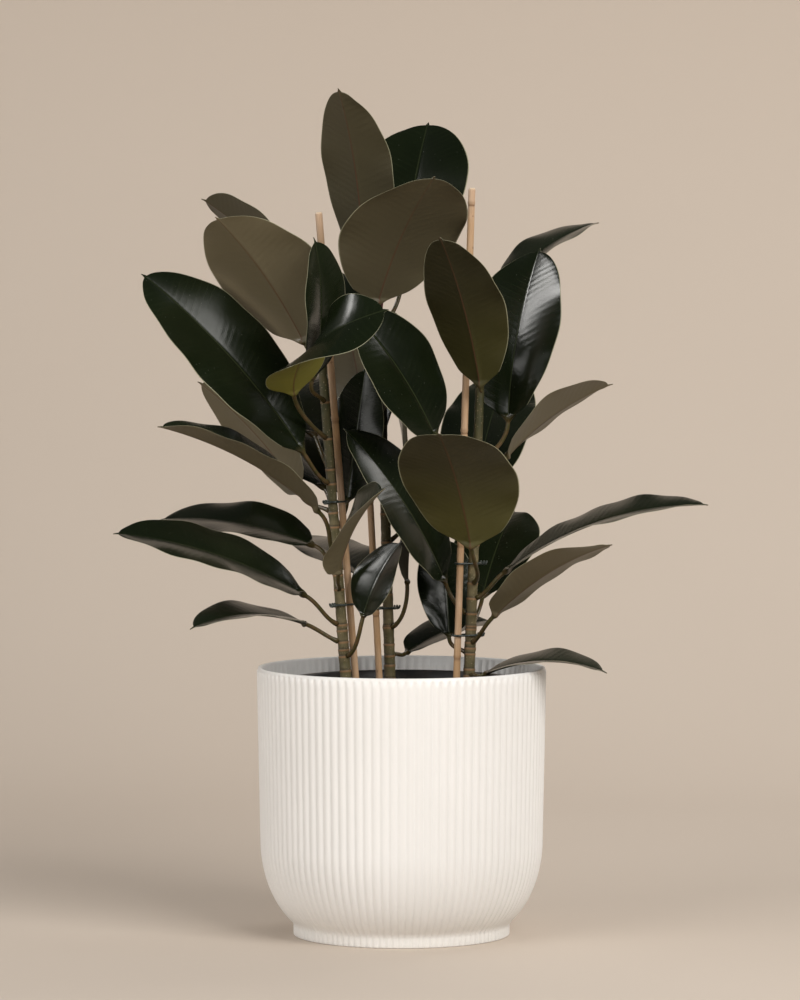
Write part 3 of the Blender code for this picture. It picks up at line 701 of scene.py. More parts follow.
class Backdrop(Finish):
    """Plain warm beige studio paper. It shows only from its front, so the object can be seen from behind."""

    def paint(self, sheet: Sheet, shader: bpy.types.Node) -> None:
        """Paint beige with a trace of unevenness."""
        place = sheet.place()
        patch = sheet.mottled(place, 0.8, 2.0, 0.3, 0.7)
        base = sheet.blend(patch, colour(0.575, 0.497, 0.423), colour(0.595, 0.517, 0.443))
        paint_base(sheet, shader, base, sheet.remap(patch, 0.0, 1.0, 0.8, 0.9))
        behind = sheet.add("NewGeometry").outputs["Backfacing"]
        sheet.link(sheet.maths("SUBTRACT", 1.0, behind), shader.inputs["Alpha"])


@dataclass(frozen=True)
class Palette:
    """Every finish that the plant and its pots wear."""

    white: bpy.types.Material
    black: bpy.types.Material
    earth: bpy.types.Material
    bark: bpy.types.Material
    bamboo: bpy.types.Material
    tie: bpy.types.Material
    sheath: bpy.types.Material
    leaf: bpy.types.Material
    paper: bpy.types.Material

    @classmethod
    def mixed(cls) -> "Palette":
        """Make every finish once."""
        effects = Effects()
        return cls(
            white=SatinWhite("satin_white_plastic", specular=0.45).material(effects),
            black=BlackPlastic("black_plastic", specular=0.4).material(effects),
            earth=Earth("damp_soil", specular=0.2).material(effects),
            bark=Bark("stem_bark", specular=0.35).material(effects),
            bamboo=Bamboo("bamboo", specular=0.4).material(effects),
            tie=TiePlastic("tie_plastic", specular=0.5).material(effects),
            sheath=Sheath("bud_sheath", specular=0.5, coat=0.15).material(effects),
            leaf=LeafSurface("rubber_leaf", specular=0.29).material(effects),
            paper=Backdrop("studio_paper", specular=0.2).material(effects),
        )


# ---------------------------------------------------------------- pots and soil


@dataclass
class CoverPot:
    """The white cover pot: fluted from its foot to a thin smooth rim, inside and out."""

    flutes: int = 104
    flute_depth: float = 0.002
    wall: float = 0.004
    floor: float = 0.005
    rim_radius: float = 0.150
    wall_radius: float = 0.1465
    foot_radius: float = 0.112
    foot_height: float = 0.013
    round_bottom: float = 0.100
    rim_band: float = 0.004
    inner_flute_depth: float = 0.0021
    rounding: float = 0.0012
    ridge_power: float = 2.6
    samples: int = 7

    @property
    def height(self) -> float:
        """The pot's height, from the frame."""
        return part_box("cover_pot")[1].z

    def outside(self) -> Array:
        """Return rows of (radius, height, flute depth) up the outside.

        The foot is a short straight band with a rounded lower edge. Above it the round bottom is part of an
        oval that ends upright, and the wall then runs straight to the rim band.
        """
        bend = np.linspace(0, math.pi / 2, 5)
        edge = self.rounding
        foot = joined(
            self.foot_radius - edge + edge * np.sin(bend), edge - edge * np.cos(bend),
            self.flute_depth * np.sin(bend),
        )
        rise = self.round_bottom - self.foot_height
        reach = self.wall_radius - self.foot_radius
        # the oval runs from 60 degrees, where the cosine is a half
        turn = np.radians(np.linspace(60, 0, 26))
        oval_height, oval_width = rise / math.sin(math.radians(60)), reach / 0.5
        bottom = joined(
            self.wall_radius - oval_width * (1 - np.cos(turn)),
            self.round_bottom - oval_height * np.sin(turn), self.flute_depth,
        )
        lead = np.array([
            [self.foot_radius, self.foot_height * s, self.flute_depth] for s in (0.35, 0.7, 0.88)
        ])
        share = np.linspace(0, 1, 26)[1:]
        top = self.height - self.rim_band
        wall = joined(
            self.wall_radius + (self.rim_radius - self.wall_radius) * share,
            self.round_bottom + (top - self.round_bottom) * share, self.flute_depth,
        )
        fade = np.array([
            [self.rim_radius, top + 0.0004, self.flute_depth * 0.5], [self.rim_radius, top + 0.0009, 0.0],
        ])
        return np.concatenate([foot, lead, bottom[1:], wall, fade])

    def rim_and_inside(self) -> Array:
        """Return rows of (radius, height, flute depth) over the round rim and down the fluted inside."""
        middle = self.rim_radius - self.wall / 2
        turn = np.linspace(0, math.pi, 9)[1:-1]
        rim = joined(
            middle + self.wall / 2 * np.cos(turn), self.height - self.rounding + self.rounding * np.sin(turn),
            0.0,
        )
        outer = self.outside()
        keep_rows = (outer[:, 1] > self.floor + 0.012) & (outer[:, 1] < self.height - 0.006)
        inner = outer[keep_rows][::-1].copy()
        inner[:, 0] -= self.wall + self.flute_depth / 2
        inner[:, 2] = self.inner_flute_depth
        start = np.array([[self.rim_radius - self.wall, self.height - 0.003, 0.0]])
        corner = np.array([
            [inner[-1, 0] - 0.003, self.floor + 0.006, 0.0], [inner[-1, 0] - 0.010, self.floor, 0.0],
        ])
        middle_floor = [[0.05, self.floor, 0.0], [0.004, self.floor, 0.0]]
        return np.concatenate([rim, start, inner, corner, middle_floor])

    def build(self, palette: Palette) -> None:
        """Turn the profile round the axis and lift each flute.

        Across one flute the surface is a rounded ridge: its height falls from the crest as the 2.6th power of
        the distance out to the groove, so the grooves are narrow.
        """
        rows = np.concatenate([[[0.004, 0.0, 0.0], [0.06, 0.0, 0.0]], self.outside(), self.rim_and_inside()])
        columns = self.flutes * self.samples
        steps = np.arange(columns)
        across = ((steps / self.samples + 0.5) % 1.0 - 0.5) * 2
        ridge = 0.5 - np.abs(across) ** self.ridge_power
        skin = turned_skin("cover_pot_shell", rows[:, :2], columns)
        angles = around(columns)
        radii = rows[:, :1] + rows[:, 2:3] * ridge[None, :]
        skin.grid[..., 0] = radii * np.cos(angles)
        skin.grid[..., 1] = radii * np.sin(angles)
        keep(skin.place(palette.white), "white_plastic", "cover_pot")


@dataclass
class NurseryPot:
    """The black growing pot: a thin tapered cup with a turned-out lip."""

    wall: float = 0.0015
    lip: float = 0.005
    rounding: float = 0.0012
    holes: int = 6
    hole_radius: float = 0.006

    def build(self, palette: Palette) -> None:
        """Turn the cup's profile, with its step under the lip and shallow rings on the wall."""
        low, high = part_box("nursery_pot")
        rim, rim_radius, foot = high.z, high.x, foot_radius("nursery_pot")
        slope = (rim_radius - foot) / (rim - low.z)
        heights = np.linspace(low.z + 0.004, rim - self.lip - 0.004, 40)
        rings = 0.0004 * np.sin((heights - low.z) * TURN / 0.024)
        step = self.lip * smooth_step(heights, rim - 0.04, rim - 0.01)
        outer = joined(foot + slope * (heights - low.z) - step + rings, heights)
        bead = np.linspace(-math.pi / 2, math.pi / 2, 9)
        half = self.lip / 2
        edge = joined(
            rim_radius - self.rounding + self.rounding * np.cos(bead), rim - half + half * np.sin(bead)
        )
        neck = np.array([
            [rim_radius - self.lip - 0.0008, rim - self.lip - 0.0015],
            [rim_radius - self.lip, rim - self.lip],
        ])
        inner_top = rim_radius - self.lip - self.wall
        down = np.linspace(rim - 0.001, low.z + self.wall + 0.003, 24)
        inner = joined(np.interp(down, [low.z, rim], [foot - self.wall, inner_top]), down)
        base = np.array([
            [0.004, low.z], [foot - 0.004, low.z], [foot - self.rounding, low.z + self.rounding],
        ])
        floor = np.array([[foot - 0.006, low.z + self.wall], [0.004, low.z + self.wall]])
        profile = np.concatenate([base, outer, neck, edge, [[inner_top + 0.001, rim]], inner, floor])
        pot = turned_skin("growing_pot", profile, 144).place(palette.black)
        self.drill(pot, foot * 0.7, low.z)
        keep(pot, "black_plastic", "nursery_pot")

    def drill(self, pot: bpy.types.Object, reach: float, floor: float) -> None:
        """Cut the drain holes through the floor, each tool turned so that its corners miss the pot's edges."""
        for i, turn in enumerate(around(self.holes)):
            bpy.ops.mesh.primitive_cylinder_add(
                vertices=28, radius=self.hole_radius, depth=0.008,
                location=(reach * math.cos(turn), reach * math.sin(turn), floor),
                rotation=(0.0, 0.0, turn + 0.05),
            )
            tool = bpy.context.object
            cut = pot.modifiers.new(f"drain_{i}", "BOOLEAN")
            cut.operation = "DIFFERENCE"
            cut.solver = "MANIFOLD"
            cut.object = tool
            bpy.context.view_layer.objects.active = pot
            bpy.ops.object.modifier_apply(modifier=cut.name)
            bpy.data.objects.remove(tool, do_unlink=True)


@dataclass
class Soil:
    """Damp potting soil: a domed bed with lumps, loose crumbs, bark bits and a few white grains."""

    crumbs: int = 520
    grains: int = 46
    lump: float = 0.0022
    corner: float = 0.005
    corner_width: float = 0.0075

    def bed_radius(self) -> float:
        """Return the bed's radius at the surface, from the frame."""
        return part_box("potting_soil")[1].x

    def surface_height(self, x: Array, y: Array) -> Array:
        """Return the bed's height: a low dome, lumps at three scales, and a slight mound round each stem."""
        points = joined(x, y, 0.0)
        share = np.hypot(x, y) / self.bed_radius()
        height = SOIL_LEVEL - 0.0032 * share**2 - 0.001
        for amount, scale, seed in ((0.55, 0.030, 4), (0.35, 0.011, 5), (0.25, 0.0045, 6)):
            height = height + self.lump * amount * soft_noise(points, scale, seed)
        for shoot in SHOOTS.values():
            near = np.hypot(x - shoot.stem_foot[0], y - shoot.stem_foot[1])
            height = height + 0.0022 * bell(near, 0.014)
        return height

    def build(self, palette: Palette) -> None:
        """Build the bed, then strew the crumbs."""
        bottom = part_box("potting_soil")[0].z
        radius = self.bed_radius()
        low_radius = foot_radius("potting_soil")
        levels = np.linspace(bottom + self.corner, SOIL_LEVEL - 0.006, 8)
        side = joined(np.linspace(low_radius, radius, 8), levels)
        inward = np.linspace(1.0, 0.02, 90) * (radius - 0.0005)
        top = joined(inward, SOIL_LEVEL)
        foot = [[0.004, bottom], [low_radius - self.corner_width, bottom]]
        profile = np.concatenate([foot, side, top])
        skin = turned_skin("soil_bed", profile, 288)
        rows = len(profile) - len(top)
        skin.grid[rows:, :, 2] = self.surface_height(skin.grid[rows:, :, 0], skin.grid[rows:, :, 1])
        skin.last_pole = np.array([0.0, 0.0, float(skin.grid[-1, :, 2].mean())])
        skin.marks["crumb"] = np.zeros(skin.grid.shape[:2] + (4,))
        keep(skin.place(palette.earth), "potting_soil", "potting_soil")
        keep(self.strewn("soil_crumbs", self.crumbs, 0.0009, 0.0032, 21, palette), "potting_soil")
        keep(self.strewn("perlite_grains", self.grains, 0.0007, 0.0017, 22, palette), "potting_soil")

    def strewn(
        self, name: str, count: int, small: float, large: float, seed: int, palette: Palette
    ) -> bpy.types.Object:
        """Strew uneven crumbs over the bed as one object.

        Each crumb is a ball of twenty faces. Its corners are pulled in or out at random, and it is flattened
        and turned.

        Args:
            name: the piece's name.
            count: how many crumbs.
            small: the smallest crumb's radius.
            large: the largest crumb's radius.
            seed: the seed of the random places and shapes.
            palette: the finishes.

        Returns:
            The crumbs' object.
        """
        golden = (1 + math.sqrt(5)) / 2
        corners = np.array([
            (-1, golden, 0), (1, golden, 0), (-1, -golden, 0), (1, -golden, 0),
            (0, -1, golden), (0, 1, golden), (0, -1, -golden), (0, 1, -golden),
            (golden, 0, -1), (golden, 0, 1), (-golden, 0, -1), (-golden, 0, 1),
        ]) / math.hypot(1, golden)
        faces = np.array([
            (0, 11, 5), (0, 5, 1), (0, 1, 7), (0, 7, 10), (0, 10, 11), (1, 5, 9), (5, 11, 4), (11, 10, 2),
            (10, 7, 6), (7, 1, 8), (3, 9, 4), (3, 4, 2), (3, 2, 6), (3, 6, 8), (3, 8, 9), (4, 9, 5),
            (2, 4, 11), (6, 2, 10), (8, 6, 7), (9, 8, 1),
        ])
        rng = np.random.default_rng(seed)
        reach = (self.bed_radius() - 0.004) * np.sqrt(rng.uniform(0, 1, count))
        turn = rng.uniform(0, TURN, count)
        x, y = reach * np.cos(turn), reach * np.sin(turn)
        size = small + (large - small) * rng.uniform(0, 1, count) ** 2.4
        shape = corners[None] * rng.uniform(0.68, 1.18, (count, 12, 1)) * size[:, None, None]
        stretch = joined(rng.uniform(0.8, 1.5, count), 1.0, rng.uniform(0.5, 0.9, count))
        shape = shape * stretch[:, None]
        spin = rng.uniform(0, TURN, count)
        cos, sin = np.cos(spin)[:, None], np.sin(spin)[:, None]
        shape = joined(
            shape[..., 0] * cos - shape[..., 1] * sin, shape[..., 0] * sin + shape[..., 1] * cos,
            shape[..., 2],
        )
        centre = joined(x, y, self.surface_height(x, y) + size * 0.25)
        points = (shape + centre[:, None]).reshape(-1, 3)
        index = (faces[None] + 12 * np.arange(count)[:, None, None]).reshape(-1, 3)
        mesh = bpy.data.meshes.new(name)
        mesh.from_pydata(points.tolist(), [], index.tolist())
        white = 1.0 if name == "perlite_grains" else 0.0
        tone = np.repeat(rng.uniform(0, 1, count) ** 3 * (1 - white), 12)
        kept = joined(tone, white, 0.0, 1.0)
        mark = mesh.attributes.new("crumb", "FLOAT_COLOR", "POINT")
        mark.data.foreach_set("color", kept.astype(np.float32).ravel())
        mesh.materials.append(palette.earth)
        return put(name, mesh)


# ---------------------------------------------------------------- shoots


@dataclass(frozen=True)
class Shoot:
    """One rooted plant: the feet and tops of its stem and its cane, in (x, y, height above the soil)."""

    stem_foot: tuple
    stem_top: tuple
    cane_foot: tuple
    cane_top: tuple

    def stem_line(self) -> tuple[Array, Array]:
        """Return the two ends of the stem's centre line above the soil."""
        return above_soil(self.stem_foot), above_soil(self.stem_top)

    def cane_line(self) -> tuple[Array, Array]:
        """Return the two ends of the cane's centre line above the soil."""
        return above_soil(self.cane_foot), above_soil(self.cane_top)

    def stem_place(self, height: float) -> Array:
        """Return the stem's centre at a height above the soil."""
        foot, top = self.stem_line()
        return foot + (top - foot) * height / self.stem_top[2]


@dataclass(frozen=True)
class Leaf:
    """One leaf, held at a height on its shoot's stem.

    base and tip are where the blade starts and ends, in (x, y, height above the soil). turn rolls the blade
    about its length in degrees. arch and sway bend it out of and within its plane, as shares of its length.
    fold and curl tilt each half up, at the midrib and further at the edge, in degrees. twist rolls the tip.
    """

    shoot: str
    node: float
    base: tuple
    tip: tuple
    width: float
    turn: float = 0.0
    arch: float = 0.08
    sway: float = 0.0
    fold: float = 14.0
    curl: float = -10.0
    twist: float = 0.0
    belly: float = 1.0
    leave: tuple = ()


def above_soil(point: tuple) -> Array:
    """Return a design point, given by its height above the soil, in the part's frame."""
    return np.array([point[0], point[1], point[2] + SOIL_LEVEL])


SHOOTS: dict[str, Shoot] = {
    "left": Shoot((-0.057, -0.016, 0), (-0.085, -0.022, 0.375), (-0.047, -0.005, 0), (-0.086, -0.006, 0.495)),
    "middle": Shoot((-0.012, 0.052, 0), (-0.023, 0.052, 0.395), (-0.023, 0.040, 0), (-0.042, 0.040, 0.370)),
    "right": Shoot((0.070, 0.002, 0), (0.084, 0.002, 0.380), (0.057, -0.006, 0), (0.073, -0.006, 0.520)),
}

LEAVES: dict[str, Leaf] = {
    # left shoot, from the top down
    "leaf_left_01": Leaf("left", 0.372, (-0.105, 0.035, 0.405), (-0.207, 0.090, 0.508), 0.095, turn=45),
    "leaf_left_02": Leaf("left", 0.345, (-0.099, -0.035, 0.358), (-0.186, -0.110, 0.486), 0.130, turn=20),
    "leaf_left_03": Leaf("left", 0.300, (-0.092, -0.068, 0.322), (-0.088, -0.108, 0.463), 0.085, turn=-125),
    "leaf_left_04": Leaf(
        "left", 0.262, (-0.110, -0.079, 0.306), (-0.018, -0.166, 0.394), 0.105,
        turn=-15, arch=0, sway=0.3, twist=92, fold=3, curl=0, belly=1.2,
    ),
    "leaf_left_05": Leaf(
        "left", 0.215, (-0.100, -0.045, 0.245), (-0.263, -0.060, 0.428), 0.113, turn=-50, belly=1.15
    ),
    "leaf_left_06": Leaf("left", 0.185, (-0.105, 0.015, 0.200), (-0.210, 0.055, 0.315), 0.095, turn=55),
    "leaf_left_07": Leaf("left", 0.170, (-0.080, 0.040, 0.205), (-0.150, 0.170, 0.270), 0.100),
    "leaf_left_08": Leaf(
        "left", 0.140, (-0.084, -0.055, 0.185), (-0.243, -0.110, 0.275), 0.085, turn=-10, fold=30
    ),
    "leaf_left_09": Leaf("left", 0.120, (-0.090, 0.015, 0.147), (-0.251, 0.075, 0.172), 0.090, turn=-18),
    "leaf_left_10": Leaf(
        "left", 0.105, (-0.065, -0.062, 0.122), (-0.020, -0.142, 0.212), 0.080, turn=50, fold=25
    ),
    "leaf_left_11": Leaf("left", 0.068, (-0.098, -0.040, 0.098), (-0.290, -0.080, 0.165), 0.095, turn=-24),
    "leaf_left_12": Leaf(
        "left", 0.050, (-0.098, -0.030, 0.068), (-0.212, -0.090, 0.070), 0.080, turn=-8, arch=0.12
    ),
    "leaf_left_13": Leaf("left", 0.035, (-0.040, -0.040, 0.076), (-0.002, -0.038, 0.152), 0.074, turn=30),
    "leaf_left_14": Leaf("left", 0.230, (-0.090, 0.030, 0.260), (-0.150, 0.230, 0.330), 0.100),
    "leaf_left_15": Leaf(
        "left", 0.150, (-0.057, 0.010, 0.192), (-0.038, 0.010, 0.330), 0.060,
        turn=80, arch=0.02, leave=(-0.3, 1),
    ),
    # middle shoot
    "leaf_middle_01": Leaf("middle", 0.390, (-0.040, 0.040, 0.443), (-0.064, -0.040, 0.618), 0.082, turn=-9),
    "leaf_middle_02": Leaf("middle", 0.380, (0.004, 0.080, 0.450), (0.028, 0.160, 0.590), 0.125),
    "leaf_middle_03": Leaf(
        "middle", 0.355, (-0.026, 0.022, 0.398), (0.032, -0.078, 0.528), 0.140,
        turn=-3, fold=6, belly=1.12,
    ),
    "leaf_middle_04": Leaf("middle", 0.300, (-0.062, 0.105, 0.345), (-0.120, 0.230, 0.450), 0.100),
    "leaf_middle_05": Leaf("middle", 0.235, (-0.038, 0.014, 0.270), (-0.066, 0.014, 0.405), 0.085, turn=60),
    "leaf_middle_06": Leaf("middle", 0.215, (-0.030, 0.078, 0.250), (-0.008, 0.100, 0.390), 0.080),
    "leaf_middle_07": Leaf("middle", 0.180, (0.010, 0.032, 0.222), (0.016, 0.032, 0.362), 0.074),
    "leaf_middle_08": Leaf("middle", 0.150, (0.020, 0.090, 0.190), (0.090, 0.240, 0.250), 0.100),
    "leaf_middle_09": Leaf("middle", 0.060, (0.006, 0.032, 0.105), (0.032, 0.028, 0.232), 0.074),
    "leaf_middle_10": Leaf("middle", 0.030, (0.004, 0.070, 0.030), (0.092, 0.110, 0.062), 0.075, turn=8),
    "leaf_middle_11": Leaf("middle", 0.095, (-0.040, 0.090, 0.110), (-0.130, 0.230, 0.140), 0.095),
    # right shoot
    "leaf_right_01": Leaf(
        "right", 0.370, (0.108, 0.104, 0.418), (0.207, 0.158, 0.485), 0.088, leave=(-1, 0.2)
    ),
    "leaf_right_02": Leaf("right", 0.330, (0.082, -0.030, 0.312), (0.040, -0.130, 0.465), 0.086),
    "leaf_right_03": Leaf("right", 0.240, (0.111, 0.010, 0.276), (0.144, 0.055, 0.454), 0.116, belly=1.1),
    "leaf_right_04": Leaf(
        "right", 0.215, (0.035, -0.036, 0.262), (-0.050, -0.070, 0.392), 0.104, turn=-62, leave=(0, -1)
    ),
    "leaf_right_05": Leaf("right", 0.205, (0.108, 0.020, 0.238), (0.217, 0.050, 0.314), 0.096, turn=-25),
    "leaf_right_06": Leaf(
        "right", 0.110, (0.072, -0.060, 0.148), (0.038, -0.198, 0.270), 0.125, leave=(0.35, -1)
    ),
    "leaf_right_07": Leaf(
        "right", 0.094, (0.105, -0.015, 0.120), (0.310, -0.060, 0.194), 0.090, turn=12, arch=0.11
    ),
    "leaf_right_08": Leaf("right", 0.078, (0.046, 0.014, 0.108), (-0.056, -0.034, 0.268), 0.092, turn=-58),
    "leaf_right_09": Leaf("right", 0.065, (0.085, 0.050, 0.090), (0.120, 0.160, 0.175), 0.095),
    "leaf_right_10": Leaf("right", 0.048, (0.094, -0.040, 0.076), (0.210, -0.115, 0.155), 0.082, turn=-8),
    "leaf_right_11": Leaf(
        "right", 0.013, (0.085, -0.030, 0.016), (0.207, -0.055, 0.022), 0.075, turn=6, arch=0.13
    ),
    "leaf_right_12": Leaf("right", 0.150, (0.075, 0.050, 0.190), (0.115, 0.250, 0.320), 0.100),
    "leaf_right_13": Leaf("right", 0.036, (0.050, 0.030, 0.050), (0.042, 0.082, 0.150), 0.064),
}

# how pale and brown a leaf's underside is, and how yellow-green it is near its base: a fresh leaf's own colour,
# and on leaf_left_04 also painted light shining through the blade
PALE_UNDERSIDES = {
    "leaf_left_01": 0.3, "leaf_left_02": 1.0, "leaf_left_06": 0.8, "leaf_left_08": 0.7, "leaf_left_10": 1.0,
    "leaf_middle_01": 0.36, "leaf_middle_03": 0.55, "leaf_middle_05": 0.8,
    "leaf_right_01": 1.0, "leaf_right_02": 0.0, "leaf_right_05": 0.9, "leaf_right_06": 0.1,
    "leaf_right_10": 0.8,
}
FRESH_AND_LIT_THROUGH_LEAVES = {"leaf_left_04": 0.9, "leaf_right_06": 0.25, "leaf_right_02": 0.15}


@dataclass
class ShootPiece:
    """A piece of one shoot."""

    side: Side

    @property
    def shoot(self) -> Shoot:
        """The shoot that this piece belongs to."""
        return SHOOTS[self.side.value]


@dataclass
class Stem(ShootPiece):
    """A woody stem with a ring scar at every leaf and older scars on its bare foot."""

    foot_radius: float = 0.0058
    top_radius: float = 0.0042
    scar: float = 0.0005
    depth: float = 0.070
    old_scars: tuple = (0.006, 0.020, 0.042, 0.062)
    columns: int = 28

    def radius_at(self, height: Array) -> Array:
        """Return the plain stem's radius at a height above the soil."""
        share = np.clip(height / self.shoot.stem_top[2], 0.0, 1.0)
        return self.foot_radius + (self.top_radius - self.foot_radius) * share

    def scars(self) -> Array:
        """Return the heights of every ring scar."""
        leaves = [leaf.node for leaf in LEAVES.values() if leaf.shoot == self.side.value]
        return np.array(sorted(list(self.old_scars) + leaves))

    def build(self, palette: Palette) -> None:
        """Carry an uneven ring up the stem.

        The radius is the taper, plus a narrow ridge and a wider swelling at each scar, minus a thin crease
        just above it, plus two scales of soft noise round and along the bark.
        """
        foot, top = self.shoot.stem_line()
        forward = unit(top - foot)
        length = float(np.linalg.norm(top - foot))
        heights = np.linspace(-self.depth, length, 460)
        path = foot + forward * heights[:, None]
        scars = self.scars() - 0.001
        apart = heights[:, None] - scars[None, :]
        ridge = bell(apart, 0.0009).sum(1)
        swelling = bell(apart, 0.0045).sum(1)
        crease = bell(apart - 0.0019, 0.0007).sum(1)
        radius = (
            self.radius_at(heights) + self.scar * 0.55 * ridge + self.scar * 0.5 * swelling - 0.0003 * crease
        )
        angles = around(self.columns)
        lattice = joined(np.cos(angles)[None, :] * 0.006, np.sin(angles)[None, :] * 0.006, heights[:, None])
        seed = 31 + list(Side).index(self.side)
        coarse, fine = soft_noise(lattice, 0.012, seed), soft_noise(lattice, 0.003, seed + 5)
        radii = radius[:, None] + 0.00022 * coarse + 0.00008 * fine
        closing = smooth_step(heights, length, length - 0.0012)
        radii = radii * (0.35 + 0.65 * closing)[:, None]
        young = smooth_step(heights, 0.12, 0.30)
        # the third mark is the crease above each scar, where the bark takes painted shade
        marks = joined(np.clip(ridge * 0.8, 0, 1), young, np.clip(crease * 0.8, 0, 1), 1.0)
        tube = Tube(f"stem_{self.side.value}_bark", path, radii, self.columns, marks={"growth": marks})
        keep(tube.skin().place(palette.bark), "stem_bark", f"stem_{self.side.value}")


# how far each cane's nodes are moved along it
NODE_SHIFTS = {Side.LEFT: 0.0, Side.MIDDLE: 0.03, Side.RIGHT: -0.012}


@dataclass
class Cane(ShootPiece):
    """A bamboo cane with node rings and a cut, hollow top."""

    radius: float = 0.0037
    depth: float = 0.150
    bore: float = 0.0017
    node_spacing: float = 0.118
    first_node: float = 0.045
    columns: int = 26

    def build(self, palette: Palette) -> None:
        """Carry a ring up the cane, with a groove and a ridge at each node, over the edge and into the bore."""
        foot, top = self.shoot.cane_line()
        forward = unit(top - foot)
        length = float(np.linalg.norm(top - foot))
        heights = np.linspace(-self.depth, length - 0.0004, 420)
        nodes = np.arange(-1, 6) * self.node_spacing + self.first_node + NODE_SHIFTS[self.side]
        nodes = nodes[nodes < length - 0.01]
        apart = heights[:, None] - nodes[None, :]
        ridge = bell(apart, 0.0016).sum(1)
        groove = bell(apart + 0.003, 0.0009).sum(1)
        radius = self.radius + 0.00033 * ridge - 0.00028 * groove - 0.0001
        radius[-1] = self.radius - 0.0006
        over = np.array([length, length, length - 0.004, length - 0.009])
        over_radius = np.array([self.radius - 0.0010, self.bore + 0.0003, self.bore, self.bore * 0.7])
        path = foot + forward * np.concatenate([heights, over])[:, None]
        radii = np.concatenate([radius, over_radius])[:, None]
        rows = len(heights)
        marks = np.zeros((rows + 4, 4))
        marks[:rows, 0] = np.clip(groove + 0.35 * ridge, 0, 1)
        marks[-5:-2, 1] = 1.0
        # the last rows, down inside the bore, take painted shade
        marks[-2:, 2] = 1.0
        tube = Tube(f"cane_{self.side.value}_bamboo", path, radii, self.columns, marks={"growth": marks})
        skin = tube.skin()
        spread = 1 + 0.035 * np.cos(2 * around(self.columns) + nodes[0] * 90)
        skin.grid = path[:, None, :] + (skin.grid - path[:, None, :]) * spread[None, :, None]
        keep(skin.place(palette.bamboo), "bamboo", f"cane_{self.side.value}")


@dataclass
class Bud(ShootPiece):
    """The pointed sheath of the next leaf, twisted a little round itself."""

    length: float = 0.042
    gap: float = 0.0003
    columns: int = 26

    def build(self, palette: Palette) -> None:
        """Carry a ring with one overlapping seam up the bud, swelling low down and ending in a point."""
        foot, top = self.shoot.stem_line()
        forward = unit(top - foot)
        share = np.linspace(0.0, 0.985, 70)
        path = top + forward * (self.gap + self.length * share)[:, None]
        radius = np.interp(share, [0.0, 0.15, 0.45, 0.8, 1.0], [0.0034, 0.0040, 0.0032, 0.0013, 0.0002])
        seam = (around(self.columns)[None, :] - share[:, None] * 2.4) % TURN
        radii = radius[:, None] * (1 + 0.07 * seam / TURN + 0.02 * np.cos(5 * seam))
        marks = joined(share, 0.0, 0.0, 1.0)
        tube = Tube(f"bud_{self.side.value}_sheath", path, radii, self.columns, marks={"growth": marks})
        keep(tube.skin().place(palette.sheath), "bud_sheath", f"bud_{self.side.value}")


@dataclass
class Tie(ShootPiece):
    """A plastic-covered wire round a stem and its cane, its two ends twisted together."""

    name: str
    height: float
    wire: float = 0.0011
    tail: float = 0.009

    def build(self, palette: Palette) -> None:
        """Bend the wire: half a turn round the stem, straight to the cane, round it and back.

        In the plane across both, the loop follows a circle round the stem and a smaller circle round the
        cane, joined by their common tangents. Each end then runs out from the stem and winds round the other
        as a helix that tightens towards its end.
        """
        stem = Stem(self.side)
        stem_centre = self.shoot.stem_place(self.height)[:2]
        foot, top = self.shoot.cane_line()
        cane_centre = (foot + (top - foot) * self.height / self.shoot.cane_top[2])[:2]
        across = cane_centre - stem_centre
        spread = float(np.linalg.norm(across))
        across = across / spread
        aside = np.array([-across[1], across[0]])
        slack = self.wire + 0.0008
        stem_reach = float(stem.radius_at(np.array(self.height))) + stem.scar + slack
        cane_reach = Cane.radius + slack
        lean = math.asin((stem_reach - cane_reach) / spread)
        open_angle = math.asin((self.wire + 0.0004) / stem_reach)
        near = np.linspace(math.pi - open_angle, math.pi / 2 - lean, 16)
        far = np.linspace(math.pi / 2 - lean, -math.pi / 2 + lean, 20)
        back = np.linspace(-math.pi / 2 + lean, -math.pi + open_angle, 16)
        round_stem = joined(np.cos(near), np.sin(near)) * stem_reach
        round_cane = joined(np.cos(far), np.sin(far)) * cane_reach + [spread, 0.0]
        home = joined(np.cos(back), np.sin(back)) * stem_reach
        loop = np.concatenate([round_stem, round_cane, home])
        loop = joined(loop[:, 0], loop[:, 1], 0.0)
        share = np.linspace(0, 1, 30)[1:]
        wind = share * 2.5 * math.pi
        gather = self.wire + 0.0004
        start = round_stem[0]
        tail_a, tail_b = (
            joined(start[0] - self.tail * share, gather * hand * np.cos(wind), gather * hand * np.sin(wind))
            for hand in (1, -1)
        )
        route = np.concatenate([tail_a[::-1], loop, tail_b])
        level = SOIL_LEVEL + self.height
        path = np.concatenate([
            stem_centre + route[:, :1] * across + route[:, 1:2] * aside, level + route[:, 2:]
        ], axis=1)
        ends = np.minimum(np.arange(len(path)), np.arange(len(path))[::-1])
        radii = self.wire * (0.55 + 0.45 * smooth_step(ends, 0, 2))[:, None]
        tube = Tube(self.name + "_wire", path, radii, 12)
        keep(tube.skin().place(palette.tie), "tie_plastic", self.name)


# ---------------------------------------------------------------- leaves


